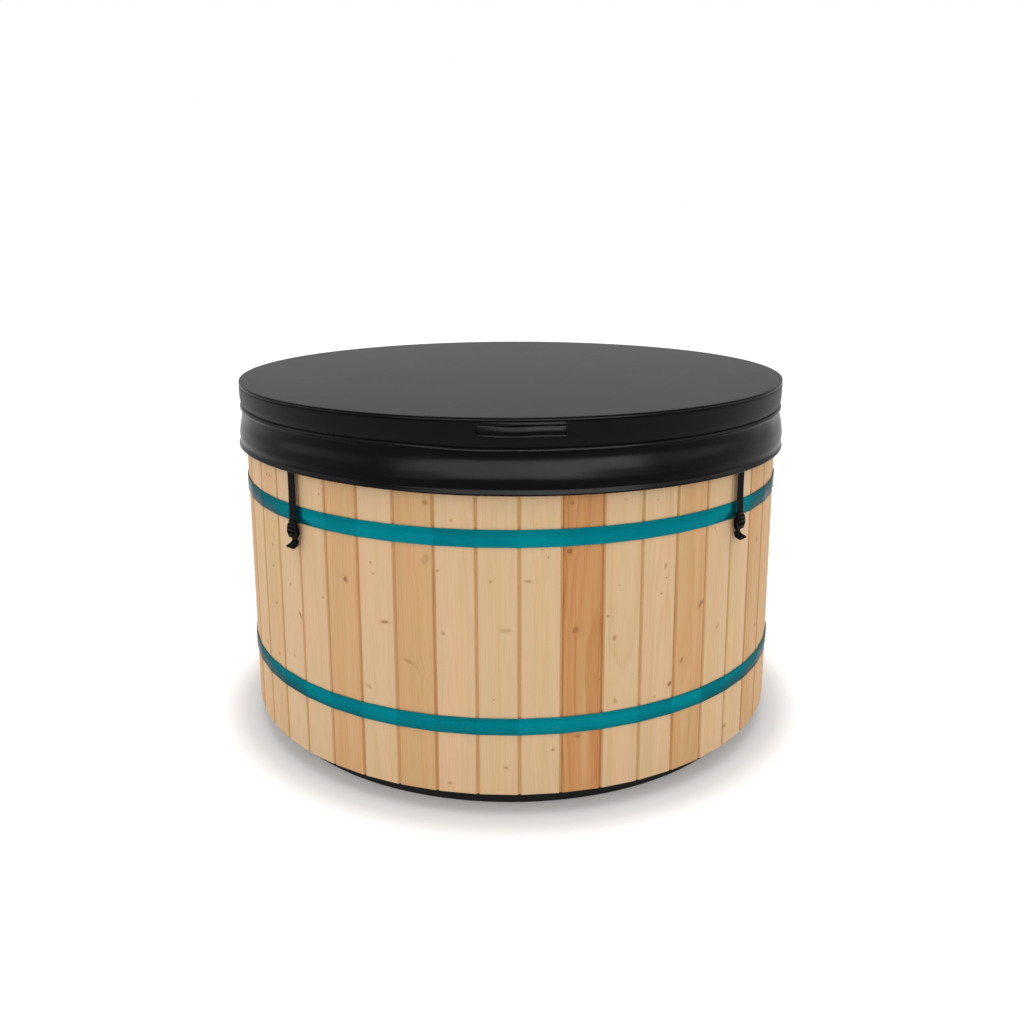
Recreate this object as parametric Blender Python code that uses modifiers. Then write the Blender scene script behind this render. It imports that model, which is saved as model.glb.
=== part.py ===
"""Round hot tub: plastic liner clad in hooped timber staves, with a padded lid that lifts off.

Metres, +Z up. The origin is on the floor at the tub's axis. Azimuths are counted from the
front (-Y) towards +X, and pieces that repeat around the tub are modelled at the front and turned.
"""

import math

import bmesh
import bpy
from mathutils import Matrix, Vector

# Clearances
SEAT_GAP = 0.0003
MERGE_DISTANCE = 0.00001

# Staves: flat boards, two to a panel
PANEL_COUNT = 24
STAVES_PER_PANEL = 2
FIRST_JOINT_AZIMUTH = math.radians(1.4)
TUB_RADIUS = 0.850
STAVE_THICKNESS = 0.028
STAVE_CHAMFER = 0.0035
TONGUE_LENGTH = 0.007
TONGUE_WIDTH = 0.008

# Base
BASE_HEIGHT = 0.060
BASE_INSET = 0.059
BASE_EDGE = 0.004
BASE_SIDES = 96

# Liner and insulation
INSULATION_THICKNESS = 0.030
LINER_WALL = 0.008
LINER_FLOOR = 0.010
LINER_FILLET = 0.020
FILLET_STEPS = 3
LEDGE_WIDTH = 0.025
RIM_TOP = 1.008
RIM_THICKNESS = 0.010
RIM_OVERHANG = 0.004
WALL_STEPS = 72

# Bench
SEAT_TOP = 0.485
SEAT_THICKNESS = 0.030
SEAT_INNER_RADIUS = 0.445
SEAT_WALL_GAP = 0.004
SEAT_COUNT = 3
SEAT_END_GAP = 0.012
RISER_RADIUS = 0.515
RISER_THICKNESS = 0.030
RISER_SPAN = math.radians(88.0)
BENCH_STEPS = 18

# Hoops
HOOP_WIDTH = 0.047
HOOP_THICKNESS = 0.0025
HOOP_UPPER_BOTTOM = 0.752
HOOP_LOWER_BOTTOM = 0.2345
HOOP_STEPS = 96
EAR_LENGTH = 0.030
EAR_GAP = 0.024
BOLT_RADIUS = 0.005
BOLT_CLEARANCE = 0.0004
BOLT_OUTSTAND = 0.006
BOLT_SIDES = 16
HEX_SIDES = 6
HEX_HEAD_RADIUS = 0.0092
HEX_HEAD_HEIGHT = 0.0064
HEX_NUT_HEIGHT = 0.008

# Heater ports
PORT_ABOVE_SEAT = 0.018
PORT_ABOVE_FILLET = 0.006
PORT_RADIUS = 0.045
PORT_BORE_RADIUS = 0.040
PORT_FLANGE_RADIUS = 0.064
PORT_FLANGE_THICKNESS = 0.010
PORT_OUTSTAND = 0.050
PORT_NUT_RADIUS = 0.064
PORT_NUT_HEIGHT = 0.018
PORT_STEPS = 32

# Drain
PORT_TO_DRAIN_STAVE_COUNT = 2
DRAIN_ABOVE_FILLET = 0.002
DRAIN_RADIUS = 0.0165
DRAIN_BORE_RADIUS = 0.0125
DRAIN_FLANGE_RADIUS = 0.032
DRAIN_FLANGE_THICKNESS = 0.006
DRAIN_OUTSTAND = 0.022
VALVE_RADIUS = 0.024
VALVE_LENGTH = 0.060
VALVE_OUTLET_RADIUS = 0.0165
VALVE_OUTLET_LENGTH = 0.018
VALVE_OUTLET_BORE = 0.0115
VALVE_OUTLET_DEPTH = 0.010
VALVE_BOSS_RADIUS = 0.011
VALVE_BOSS_HEIGHT = 0.007
VALVE_STEM_RADIUS = 0.006
VALVE_STEM_HEIGHT = 0.012
VALVE_STEM_SIDES = 16
LEVER_LENGTH = 0.105
LEVER_WIDTH = 0.018
LEVER_HUB_RADIUS = 0.013
LEVER_THICKNESS = 0.005
LEVER_STEPS = 8

# Lid
LID_TURN = math.radians(1.8)
LID_STEPS = 60
LID_OVERHANG = 0.0072
BAND_BULGE = 0.0035
BAND_EDGE_RADIUS = 0.009
BAND_EDGE_STEPS = 3
COVER_SHEET = 0.0025
CORE_THICKNESS = 0.0795
UNDERSIDE_SHEET = 0.002

# Lid skirt
SKIRT_LENGTH = 0.111
SKIRT_FLARE = 0.011
SKIRT_SHEET = 0.0025
SKIRT_RIDGE = 0.0012
SKIRT_TUCK = 0.0010
SKIRT_TUCK_DROP = 0.011
SKIRT_ROLL_DROP = 0.040
SKIRT_ROLL_FLARE = 0.006
SKIRT_BELLY_DROP = 0.075
HEM_THICKNESS = 0.007
HEM_HEIGHT = 0.009

# Lid handles
HANDLE_SPAN = math.radians(15.2)
HANDLE_WIDTH = 0.0285
HANDLE_TOP_DROP = 0.023
HANDLE_SHEET = 0.003
HANDLE_BOW = 0.010
HANDLE_TAB = 0.028
HANDLE_STEPS = 20

# Straps and buckles
STRAP_AZIMUTH = math.radians(45.9)
STRAP_WIDTH = 0.028
STRAP_SHEET = 0.002
STRAP_LAP = 0.008
STRAP_CLEARANCE = 0.0006
STRAP_DROPS = {"front_left": 0.147, "front_right": 0.137, "rear_right": 0.142, "rear_left": 0.142}
TAIL_CURL_RADIUS = 0.022
TAIL_CURL_ANGLE = math.radians(75.0)
TAIL_STEPS = 5
BUCKLE_WIDTH = 0.046
BUCKLE_HEIGHT = 0.040
BUCKLE_THICKNESS = 0.013
BUCKLE_NECK_WIDTH = 0.036
BUCKLE_SHOULDER = 0.010
BUCKLE_EDGE = 0.0015

# Sizes that follow from the driving ones
STAVE_COUNT = PANEL_COUNT * STAVES_PER_PANEL
STAVE_PITCH = math.tau / STAVE_COUNT
STAVE_BOTTOM = BASE_HEIGHT
STAVE_TOP = RIM_TOP - RIM_THICKNESS - SEAT_GAP
STAVE_INNER = TUB_RADIUS - STAVE_THICKNESS
STAVE_CORNER = TUB_RADIUS / math.cos(STAVE_PITCH / 2)
RIM_OUTER = STAVE_CORNER + RIM_OVERHANG
LINER_UPPER_OUTER = STAVE_INNER - INSULATION_THICKNESS - 2 * SEAT_GAP
LINER_UPPER_INNER = LINER_UPPER_OUTER - LINER_WALL
LINER_LOWER_OUTER = LINER_UPPER_OUTER - LEDGE_WIDTH
LINER_LOWER_INNER = LINER_LOWER_OUTER - LINER_WALL
FLOOR_BOTTOM = BASE_HEIGHT + SEAT_GAP
FLOOR_TOP = FLOOR_BOTTOM + LINER_FLOOR
LEDGE_TOP = SEAT_TOP - SEAT_THICKNESS - SEAT_GAP
FILLET_TOP = FLOOR_TOP + LINER_FILLET
DRAIN_HEIGHT = FILLET_TOP + DRAIN_FLANGE_RADIUS + DRAIN_ABOVE_FILLET
PORT_LOWER_HEIGHT = FILLET_TOP + PORT_FLANGE_RADIUS + PORT_ABOVE_FILLET
PORT_UPPER_HEIGHT = SEAT_TOP + PORT_FLANGE_RADIUS + PORT_ABOVE_SEAT
HOOP_INNER = STAVE_CORNER / math.cos(math.pi / HOOP_STEPS) + SEAT_GAP
HOOP_OUTER = HOOP_INNER + HOOP_THICKNESS
LID_BOTTOM = RIM_TOP + SEAT_GAP
CORE_BOTTOM = LID_BOTTOM + UNDERSIDE_SHEET + SEAT_GAP
CORE_TOP = CORE_BOTTOM + CORE_THICKNESS
LID_TOP = CORE_TOP + SEAT_GAP + COVER_SHEET
SEAM_RADIUS = RIM_OUTER + LID_OVERHANG
BAND_RADIUS = SEAM_RADIUS + BAND_BULGE
SKIRT_TOP = LID_BOTTOM - SEAT_GAP
HEM_BOTTOM = SKIRT_TOP - SKIRT_LENGTH
HEM_INNER = SEAM_RADIUS + SKIRT_FLARE - HEM_THICKNESS
STRAP_FACE = HEM_INNER * math.cos(math.pi / LID_STEPS) - STRAP_CLEARANCE


def clear_scene():
    """Remove whatever the scene holds."""
    for item in list(bpy.data.objects):
        bpy.data.objects.remove(item, do_unlink=True)


def new_collection(name):
    """A collection of that name, linked into the scene."""
    collection = bpy.data.collections.new(name)
    bpy.context.scene.collection.children.link(collection)
    return collection


def new_material(name, colour, roughness, metallic=0.0):
    """A Principled material of one colour."""
    material = bpy.data.materials.new(name)
    material.use_nodes = True
    shader = material.node_tree.nodes["Principled BSDF"]
    shader.inputs["Base Color"].default_value = (*colour, 1.0)
    shader.inputs["Roughness"].default_value = roughness
    shader.inputs["Metallic"].default_value = metallic
    return material


clear_scene()
PARTS = new_collection("hot_tub")
CUTTERS = new_collection("hot_tub_cutters")

SPRUCE = new_material("spruce", (0.66, 0.44, 0.23), 0.55)
BENCH_WOOD = new_material("bench_wood", (0.36, 0.20, 0.10), 0.55)
HOOP_COAT = new_material("hoop_coat", (0.003, 0.165, 0.19), 0.3, 0.2)
BLACK_PLASTIC = new_material("black_plastic", (0.015, 0.015, 0.016), 0.5)
LINER_PLASTIC = new_material("liner_plastic", (0.06, 0.065, 0.07), 0.4)
FOAM = new_material("foam", (0.78, 0.76, 0.70), 0.9)
VINYL = new_material("vinyl", (0.022, 0.022, 0.024), 0.45)
WEBBING = new_material("webbing", (0.012, 0.012, 0.013), 0.85)
STEEL = new_material("steel", (0.55, 0.55, 0.55), 0.35, 1.0)
BRASS = new_material("brass", (0.70, 0.52, 0.24), 0.35, 1.0)
LEVER_COAT = new_material("lever_coat", (0.35, 0.02, 0.02), 0.4)


def outward(azimuth):
    """The horizontal direction away from the tub's axis."""
    return Vector((math.sin(azimuth), -math.cos(azimuth), 0.0))


def tangent(azimuth):
    """The horizontal direction along the wall, towards a growing azimuth."""
    return Vector((math.cos(azimuth), math.sin(azimuth), 0.0))


def plan_point(azimuth, radius, aside=0.0):
    """A point in plan, at a radius and moved aside along the wall."""
    return (outward(azimuth) * radius + tangent(azimuth) * aside).to_2d()


def plan_arc(radius, start, end, steps):
    """Points in plan along an arc about the tub's axis."""
    return [plan_point(start + (end - start) * step / steps, radius) for step in range(steps + 1)]


def radial_frame(azimuth, height):
    """Local Z runs outward through the wall, local Y up, local X along the wall."""
    axes = Matrix((tangent(azimuth), (0.0, 0.0, 1.0), outward(azimuth))).transposed()
    return Matrix.Translation((0.0, 0.0, height)) @ axes.to_4x4()


def add_object(name, mesh, material):
    """One named piece of the tub."""
    part = bpy.data.objects.new(name, mesh)
    mesh.name = name
    mesh.materials.clear()
    mesh.materials.append(material)
    PARTS.objects.link(part)
    return part


def add_pivot(name, location, azimuth):
    """An empty on a joint's axis, turned to face outward at an azimuth."""
    pivot = bpy.data.objects.new(name, None)
    pivot.location = location
    pivot.rotation_euler.z = azimuth
    PARTS.objects.link(pivot)
    return pivot


def shade_round(mesh):
    """Smooth shading that keeps edges sharp."""
    mesh.shade_smooth()
    mesh.set_sharp_from_angle(angle=math.radians(32.0))


def turned(name, points, steps, material, closed=False):
    """A profile of (radius, height) points turned about local Z; it runs down its outer side."""
    mesh = bpy.data.meshes.new(name)
    outline = bmesh.new()
    corners = [outline.verts.new((radius, 0.0, height)) for radius, height in points]
    for start, end in zip(corners, corners[1:]):
        outline.edges.new((start, end))
    if closed:
        outline.edges.new((corners[-1], corners[0]))
    outline.to_mesh(mesh)
    outline.free()
    part = add_object(name, mesh, material)
    screw = part.modifiers.new("Turn", "SCREW")
    screw.axis = "Z"
    screw.angle = math.tau
    screw.steps = steps
    screw.render_steps = steps
    screw.use_merge_vertices = True
    screw.merge_threshold = MERGE_DISTANCE
    screw.use_smooth_shade = True
    return part


PLAN = Matrix.Identity(4)
FRONT = Matrix.Rotation(math.pi / 2, 4, "X")
SIDE = Matrix(((0, 0, 1, 0), (1, 0, 0, 0), (0, 1, 0, 0), (0, 0, 0, 1)))


def extruded(name, outline, low, high, material, plane=PLAN):
    """A flat outline drawn in a plane and extruded across it from low to high."""
    curve = bpy.data.curves.new(name, "CURVE")
    curve.dimensions = "2D"
    curve.fill_mode = "BOTH"
    curve.extrude = (high - low) / 2
    spline = curve.splines.new("POLY")
    spline.points.add(len(outline) - 1)
    for point, (across, along) in zip(spline.points, outline):
        point.co = (across, along, 0.0, 1.0)
    spline.use_cyclic_u = True
    drawing = bpy.data.objects.new(name + "_outline", curve)
    PARTS.objects.link(drawing)
    graph = bpy.context.evaluated_depsgraph_get()
    mesh = bpy.data.meshes.new_from_object(drawing.evaluated_get(graph))
    bpy.data.objects.remove(drawing, do_unlink=True)
    solid = bmesh.new()
    solid.from_mesh(mesh)
    bmesh.ops.remove_doubles(solid, verts=solid.verts, dist=MERGE_DISTANCE)
    bmesh.ops.recalc_face_normals(solid, faces=solid.faces)
    bmesh.ops.translate(solid, verts=solid.verts, vec=(0.0, 0.0, (low + high) / 2))
    bmesh.ops.transform(solid, verts=solid.verts, matrix=plane)
    solid.to_mesh(mesh)
    solid.free()
    return add_object(name, mesh, material)


def cylinder_mesh(name, radius, low, high, sides):
    """A capped cylinder, or a prism with few sides, along local Z."""
    mesh = bpy.data.meshes.new(name)
    solid = bmesh.new()
    bmesh.ops.create_cone(
        solid, cap_ends=True, segments=sides, radius1=radius, radius2=radius, depth=high - low
    )
    bmesh.ops.translate(solid, verts=solid.verts, vec=(0.0, 0.0, (low + high) / 2))
    solid.to_mesh(mesh)
    solid.free()
    return mesh


def box_mesh(name, size):
    """A box centred on the local origin."""
    mesh = bpy.data.meshes.new(name)
    solid = bmesh.new()
    bmesh.ops.create_cube(solid, size=1.0)
    bmesh.ops.scale(solid, verts=solid.verts, vec=size)
    solid.to_mesh(mesh)
    solid.free()
    return mesh


def add_cutter(mesh, matrix):
    """A hidden shape that other pieces are cut or joined with."""
    cutter = bpy.data.objects.new(mesh.name, mesh)
    cutter.matrix_world = matrix
    cutter.hide_render = True
    cutter.display_type = "WIRE"
    CUTTERS.objects.link(cutter)
    return cutter


def combine(part, cutter, operation="DIFFERENCE"):
    """Cut a piece with a shape, or join the shape to it."""
    boolean = part.modifiers.new(cutter.name, "BOOLEAN")
    boolean.object = cutter
    boolean.operation = operation
    boolean.solver = "EXACT"


def soften(part, width, segments=1):
    """Small bevels along a piece's sharp edges."""
    bevel = part.modifiers.new("Soften", "BEVEL")
    bevel.width = width
    bevel.segments = segments
    bevel.limit_method = "ANGLE"
    bevel.angle_limit = math.radians(40.0)


def panel_outline():
    """Two staves side by side in plan: a tongue at one end, a groove at the other, chamfered joints."""
    pitch = STAVE_PITCH
    inner_corner = STAVE_INNER / math.cos(pitch / 2)
    middle = TUB_RADIUS - STAVE_THICKNESS / 2
    half_tongue = TONGUE_WIDTH / 2
    half_groove = half_tongue + SEAT_GAP
    groove_depth = TONGUE_LENGTH + SEAT_GAP
    half_gap = SEAT_GAP / 2
    notch = STAVE_CORNER - STAVE_CHAMFER
    joints = [plan_point((index - 1) * pitch, STAVE_CORNER) for index in range(STAVES_PER_PANEL + 1)]
    ends = (-pitch, (STAVES_PER_PANEL - 1) * pitch)

    inner = [plan_point(ends[0], inner_corner, half_gap)]
    for index in range(1, STAVES_PER_PANEL):
        inner.append(plan_point((index - 1) * pitch, inner_corner))
    inner.append(plan_point(ends[1], inner_corner, -half_gap))

    tongue = [
        plan_point(ends[1], middle - half_tongue, -half_gap),
        plan_point(ends[1], middle - half_tongue, TONGUE_LENGTH),
        plan_point(ends[1], middle + half_tongue, TONGUE_LENGTH),
        plan_point(ends[1], middle + half_tongue, -half_gap),
    ]
    outer = [plan_point(ends[1], notch, -half_gap)]
    for index in range(STAVES_PER_PANEL, 0, -1):
        along = (joints[index] - joints[index - 1]).normalized()
        outer.append(joints[index] - along * STAVE_CHAMFER)
        outer.append(joints[index - 1] + along * STAVE_CHAMFER)
        if index > 1:
            outer.append(plan_point((index - 2) * pitch, notch))
    outer.append(plan_point(ends[0], notch, half_gap))
    groove = [
        plan_point(ends[0], middle + half_groove, half_gap),
        plan_point(ends[0], middle + half_groove, groove_depth),
        plan_point(ends[0], middle - half_groove, groove_depth),
        plan_point(ends[0], middle - half_groove, half_gap),
    ]
    return inner + tongue + outer + groove


def add_staves():
    """The wall of stave panels, counted from the first joint at the front towards +X."""
    outline = panel_outline()
    panels = []
    for index in range(PANEL_COUNT):
        name = f"staves_{index + 1:02d}"
        panel = extruded(name, outline, STAVE_BOTTOM, STAVE_TOP, SPRUCE)
        panel.rotation_euler.z = FIRST_JOINT_AZIMUTH + (STAVES_PER_PANEL * index + 1) * STAVE_PITCH
        panels.append(panel)
    return panels


def stave_azimuth(index):
    """The middle of a stave, counted from the first joint."""
    return FIRST_JOINT_AZIMUTH + (index + 0.5) * STAVE_PITCH


def rear_stave():
    """The stave nearest to the back of the tub."""
    return round((math.pi - FIRST_JOINT_AZIMUTH) / STAVE_PITCH - 0.5)


def add_base():
    """The plinth that carries the liner and stands on the floor."""
    mesh = cylinder_mesh("base_plate", TUB_RADIUS - BASE_INSET, 0.0, BASE_HEIGHT, BASE_SIDES)
    shade_round(mesh)
    soften(add_object("base_plate", mesh, BLACK_PLASTIC), BASE_EDGE)


def add_liner():
    """The water shell: floor, lower wall, bench ledge, upper wall and the flange over the stave ends."""
    corner = LINER_LOWER_INNER - LINER_FILLET
    profile = [(0.0, FLOOR_TOP)]
    for step in range(FILLET_STEPS + 1):
        turn = math.pi / 2 * step / FILLET_STEPS
        across = corner + LINER_FILLET * math.sin(turn)
        profile.append((across, FLOOR_TOP + LINER_FILLET * (1.0 - math.cos(turn))))
    ledge_under = LEDGE_TOP - LINER_WALL
    profile += [
        (LINER_LOWER_INNER, LEDGE_TOP),
        (LINER_UPPER_INNER, LEDGE_TOP),
        (LINER_UPPER_INNER, RIM_TOP),
        (RIM_OUTER, RIM_TOP),
        (RIM_OUTER, RIM_TOP - RIM_THICKNESS),
        (LINER_UPPER_OUTER, RIM_TOP - RIM_THICKNESS),
        (LINER_UPPER_OUTER, ledge_under),
        (LINER_LOWER_OUTER, ledge_under),
        (LINER_LOWER_OUTER, FLOOR_BOTTOM),
        (0.0, FLOOR_BOTTOM),
    ]
    return turned("liner", profile, WALL_STEPS, LINER_PLASTIC)


def add_insulation():
    """The foam jacket between the liner and the staves."""
    outer = STAVE_INNER - SEAT_GAP
    upper = LINER_UPPER_OUTER + SEAT_GAP
    lower = LINER_LOWER_OUTER + SEAT_GAP
    step = LEDGE_TOP - LINER_WALL - SEAT_GAP
    profile = [
        (outer, STAVE_TOP),
        (outer, STAVE_BOTTOM),
        (lower, STAVE_BOTTOM),
        (lower, step),
        (upper, step),
        (upper, STAVE_TOP),
    ]
    return turned("wall_insulation", profile, WALL_STEPS, FOAM, closed=True)


def ring_sector(inner, outer, half_span):
    """A ring sector in plan, centred on the front."""
    front = plan_arc(outer, -half_span, half_span, BENCH_STEPS)
    back = plan_arc(inner, half_span, -half_span, BENCH_STEPS)
    return front + back


def add_bench():
    """Curved seats that rest on the liner's ledge and on curved risers."""
    seat_outer = LINER_UPPER_INNER - SEAT_WALL_GAP
    seat_half = (math.tau / SEAT_COUNT - SEAT_END_GAP / seat_outer) / 2
    seat = ring_sector(SEAT_INNER_RADIUS, seat_outer, seat_half)
    riser_inner = RISER_RADIUS - RISER_THICKNESS / 2
    riser = ring_sector(riser_inner, riser_inner + RISER_THICKNESS, RISER_SPAN / 2)
    seat_bottom = SEAT_TOP - SEAT_THICKNESS
    for index in range(SEAT_COUNT):
        turn = math.tau * index / SEAT_COUNT
        top = extruded(f"bench_seat_{index + 1}", seat, seat_bottom, SEAT_TOP, BENCH_WOOD)
        top.rotation_euler.z = turn
        low = FLOOR_TOP + SEAT_GAP
        high = seat_bottom - SEAT_GAP
        support = extruded(f"bench_riser_{index + 1}", riser, low, high, BENCH_WOOD)
        support.rotation_euler.z = turn


def hoop_outline():
    """A flat band in plan, open at the back, with two ears turned out for the draw bolt."""
    ear_inner = EAR_GAP / 2
    ear_outer = ear_inner + HOOP_THICKNESS
    ear_tip = HOOP_OUTER + EAR_LENGTH
    outer_end = math.pi - math.asin(ear_outer / HOOP_OUTER)
    inner_end = math.pi - math.asin(ear_inner / HOOP_INNER)
    band = plan_arc(HOOP_OUTER, -outer_end, outer_end, HOOP_STEPS)
    right_ear = [(ear_outer, ear_tip), (ear_inner, ear_tip)]
    lining = plan_arc(HOOP_INNER, inner_end, -inner_end, HOOP_STEPS)
    left_ear = [(-ear_inner, ear_tip), (-ear_outer, ear_tip)]
    return band + right_ear + lining + left_ear


def add_hoop(place, bottom):
    """One hoop with its draw bolt and nut at the back."""
    hoop = extruded(f"hoop_{place}", hoop_outline(), bottom, bottom + HOOP_WIDTH, HOOP_COAT)
    axis = Matrix.Translation((0.0, HOOP_OUTER + EAR_LENGTH / 2, bottom + HOOP_WIDTH / 2))
    axis = axis @ Matrix.Rotation(math.pi / 2, 4, "Y")
    ear_face = EAR_GAP / 2 + HOOP_THICKNESS + SEAT_GAP
    hole_radius = BOLT_RADIUS + BOLT_CLEARANCE
    hole = cylinder_mesh(f"hoop_hole_{place}", hole_radius, -2 * ear_face, 2 * ear_face, BOLT_SIDES)
    combine(hoop, add_cutter(hole, axis))

    nut_end = -ear_face - HEX_NUT_HEIGHT
    shank_end = nut_end - BOLT_OUTSTAND
    bolt_name = f"hoop_bolt_{place}"
    shank = cylinder_mesh(bolt_name, BOLT_RADIUS, shank_end, ear_face + HEX_HEAD_HEIGHT / 2, BOLT_SIDES)
    bolt = add_object(bolt_name, shank, STEEL)
    bolt.matrix_world = axis
    head_end = ear_face + HEX_HEAD_HEIGHT
    head = cylinder_mesh(f"{bolt_name}_head", HEX_HEAD_RADIUS, ear_face, head_end, HEX_SIDES)
    combine(bolt, add_cutter(head, axis), "UNION")

    nut_name = f"hoop_nut_{place}"
    nut_mesh = cylinder_mesh(nut_name, HEX_HEAD_RADIUS, nut_end, -ear_face, HEX_SIDES)
    nut = add_object(nut_name, nut_mesh, STEEL)
    nut.matrix_world = axis
    bore = cylinder_mesh(f"{nut_name}_bore", hole_radius, nut_end - HEX_NUT_HEIGHT, 0.0, BOLT_SIDES)
    combine(nut, add_cutter(bore, axis))


def wall_hole(name, radius, frame, nodes):
    """A round hole through the wall, cut in each of the given pieces."""
    depth = TUB_RADIUS - LINER_LOWER_INNER
    start = LINER_LOWER_INNER - depth
    mesh = cylinder_mesh(name, radius + SEAT_GAP, start, TUB_RADIUS + depth, PORT_STEPS)
    cutter = add_cutter(mesh, frame)
    for node in nodes:
        combine(node, cutter)


def wall_pipe(name, wall_inner, radius, bore, flange_radius, flange_thickness, outstand, material):
    """A flanged pipe through the wall: the flange lies inside, flat against the curved liner."""
    facet = wall_inner * math.cos(math.pi / WALL_STEPS)
    seat = math.sqrt(facet**2 - flange_radius**2) - SEAT_GAP
    tip = TUB_RADIUS + outstand
    profile = [
        (radius, tip),
        (radius, seat),
        (flange_radius, seat),
        (flange_radius, seat - flange_thickness),
        (bore, seat - flange_thickness),
        (bore, tip),
    ]
    return turned(name, profile, PORT_STEPS, material, closed=True)


def add_heater_port(place, height, wall_inner, azimuth, wall_nodes):
    """A flanged pipe for the heater's hose, with the lock nut that draws it against the wall."""
    frame = radial_frame(azimuth, height)
    wall_hole(f"heater_hole_{place}", PORT_RADIUS, frame, wall_nodes)
    port = wall_pipe(
        f"heater_port_{place}",
        wall_inner,
        PORT_RADIUS,
        PORT_BORE_RADIUS,
        PORT_FLANGE_RADIUS,
        PORT_FLANGE_THICKNESS,
        PORT_OUTSTAND,
        STEEL,
    )
    port.matrix_world = frame
    seat = TUB_RADIUS + SEAT_GAP
    name = f"heater_nut_{place}"
    mesh = cylinder_mesh(name, PORT_NUT_RADIUS, seat, seat + PORT_NUT_HEIGHT, HEX_SIDES)
    nut = add_object(name, mesh, STEEL)
    nut.matrix_world = frame
    bore_start = seat - PORT_NUT_HEIGHT
    bore_end = seat + 2 * PORT_NUT_HEIGHT
    bore = cylinder_mesh(f"{name}_bore", PORT_RADIUS + SEAT_GAP, bore_start, bore_end, PORT_STEPS)
    combine(nut, add_cutter(bore, frame))


def add_drain(azimuth, wall_nodes):
    """The drain pipe through the wall, its ball valve outside, and the valve's lever."""
    frame = radial_frame(azimuth, DRAIN_HEIGHT)
    wall_hole("drain_hole", DRAIN_RADIUS, frame, wall_nodes)
    pipe = wall_pipe(
        "drain_pipe",
        LINER_LOWER_INNER,
        DRAIN_RADIUS,
        DRAIN_BORE_RADIUS,
        DRAIN_FLANGE_RADIUS,
        DRAIN_FLANGE_THICKNESS,
        DRAIN_OUTSTAND,
        BRASS,
    )
    pipe.matrix_world = frame

    start = TUB_RADIUS + SEAT_GAP
    shoulder = start + VALVE_LENGTH
    tip = shoulder + VALVE_OUTLET_LENGTH
    socket = DRAIN_RADIUS + SEAT_GAP
    socket_end = TUB_RADIUS + DRAIN_OUTSTAND + SEAT_GAP
    profile = [
        (0.0, tip - VALVE_OUTLET_DEPTH),
        (VALVE_OUTLET_BORE, tip - VALVE_OUTLET_DEPTH),
        (VALVE_OUTLET_BORE, tip),
        (VALVE_OUTLET_RADIUS, tip),
        (VALVE_OUTLET_RADIUS, shoulder),
        (VALVE_RADIUS, shoulder),
        (VALVE_RADIUS, start),
        (socket, start),
        (socket, socket_end),
        (0.0, socket_end),
    ]
    valve = turned("drain_valve", profile, PORT_STEPS, BRASS)
    valve.matrix_world = frame
    ball_centre = (socket_end + shoulder) / 2
    stem_frame = Matrix.Translation(outward(azimuth) * ball_centre + Vector((0.0, 0.0, DRAIN_HEIGHT)))
    boss_top = VALVE_RADIUS + VALVE_BOSS_HEIGHT
    boss = cylinder_mesh("valve_boss", VALVE_BOSS_RADIUS, VALVE_RADIUS / 2, boss_top, PORT_STEPS)
    combine(valve, add_cutter(boss, stem_frame), "UNION")
    stem_top = boss_top + VALVE_STEM_HEIGHT
    stem_foot = boss_top - VALVE_BOSS_HEIGHT / 2
    stem = cylinder_mesh("valve_stem", VALVE_STEM_RADIUS, stem_foot, stem_top, VALVE_STEM_SIDES)
    combine(valve, add_cutter(stem, stem_frame), "UNION")

    low = boss_top + SEAT_GAP
    lever = extruded("drain_lever", lever_outline(), low, low + LEVER_THICKNESS, LEVER_COAT)
    lever.matrix_world = stem_frame @ Matrix.Rotation(azimuth, 4, "Z")
    bore_radius = VALVE_STEM_RADIUS + SEAT_GAP
    bore = cylinder_mesh("lever_bore", bore_radius, 0.0, 2 * stem_top, VALVE_STEM_SIDES)
    combine(lever, add_cutter(bore, stem_frame))


def lever_outline():
    """A flat lever in plan: a round hub on the stem and a bar with a round end, along local -X."""
    half = LEVER_WIDTH / 2
    meet = math.asin(half / LEVER_HUB_RADIUS)
    points = []
    for step in range(2 * LEVER_STEPS + 1):
        turn = -math.pi + meet + (math.tau - 2 * meet) * step / (2 * LEVER_STEPS)
        points.append((LEVER_HUB_RADIUS * math.cos(turn), LEVER_HUB_RADIUS * math.sin(turn)))
    for step in range(LEVER_STEPS + 1):
        turn = math.pi / 2 + math.pi * step / LEVER_STEPS
        points.append((half - LEVER_LENGTH + half * math.cos(turn), half * math.sin(turn)))
    return points


def band_profile(inset):
    """The lid's side from its top edge down to the seam, drawn in by an inset."""
    radius = BAND_RADIUS - inset
    top = LID_TOP - inset
    edge = BAND_EDGE_RADIUS - inset
    points = []
    for step in range(BAND_EDGE_STEPS + 1):
        turn = math.pi / 2 * step / BAND_EDGE_STEPS
        points.append((radius - edge + edge * math.sin(turn), top - edge + edge * math.cos(turn)))
    bulge_end = (LID_TOP + LID_BOTTOM) / 2
    points.append((radius, bulge_end))
    points.append((SEAM_RADIUS - inset, LID_BOTTOM))
    return points


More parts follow.
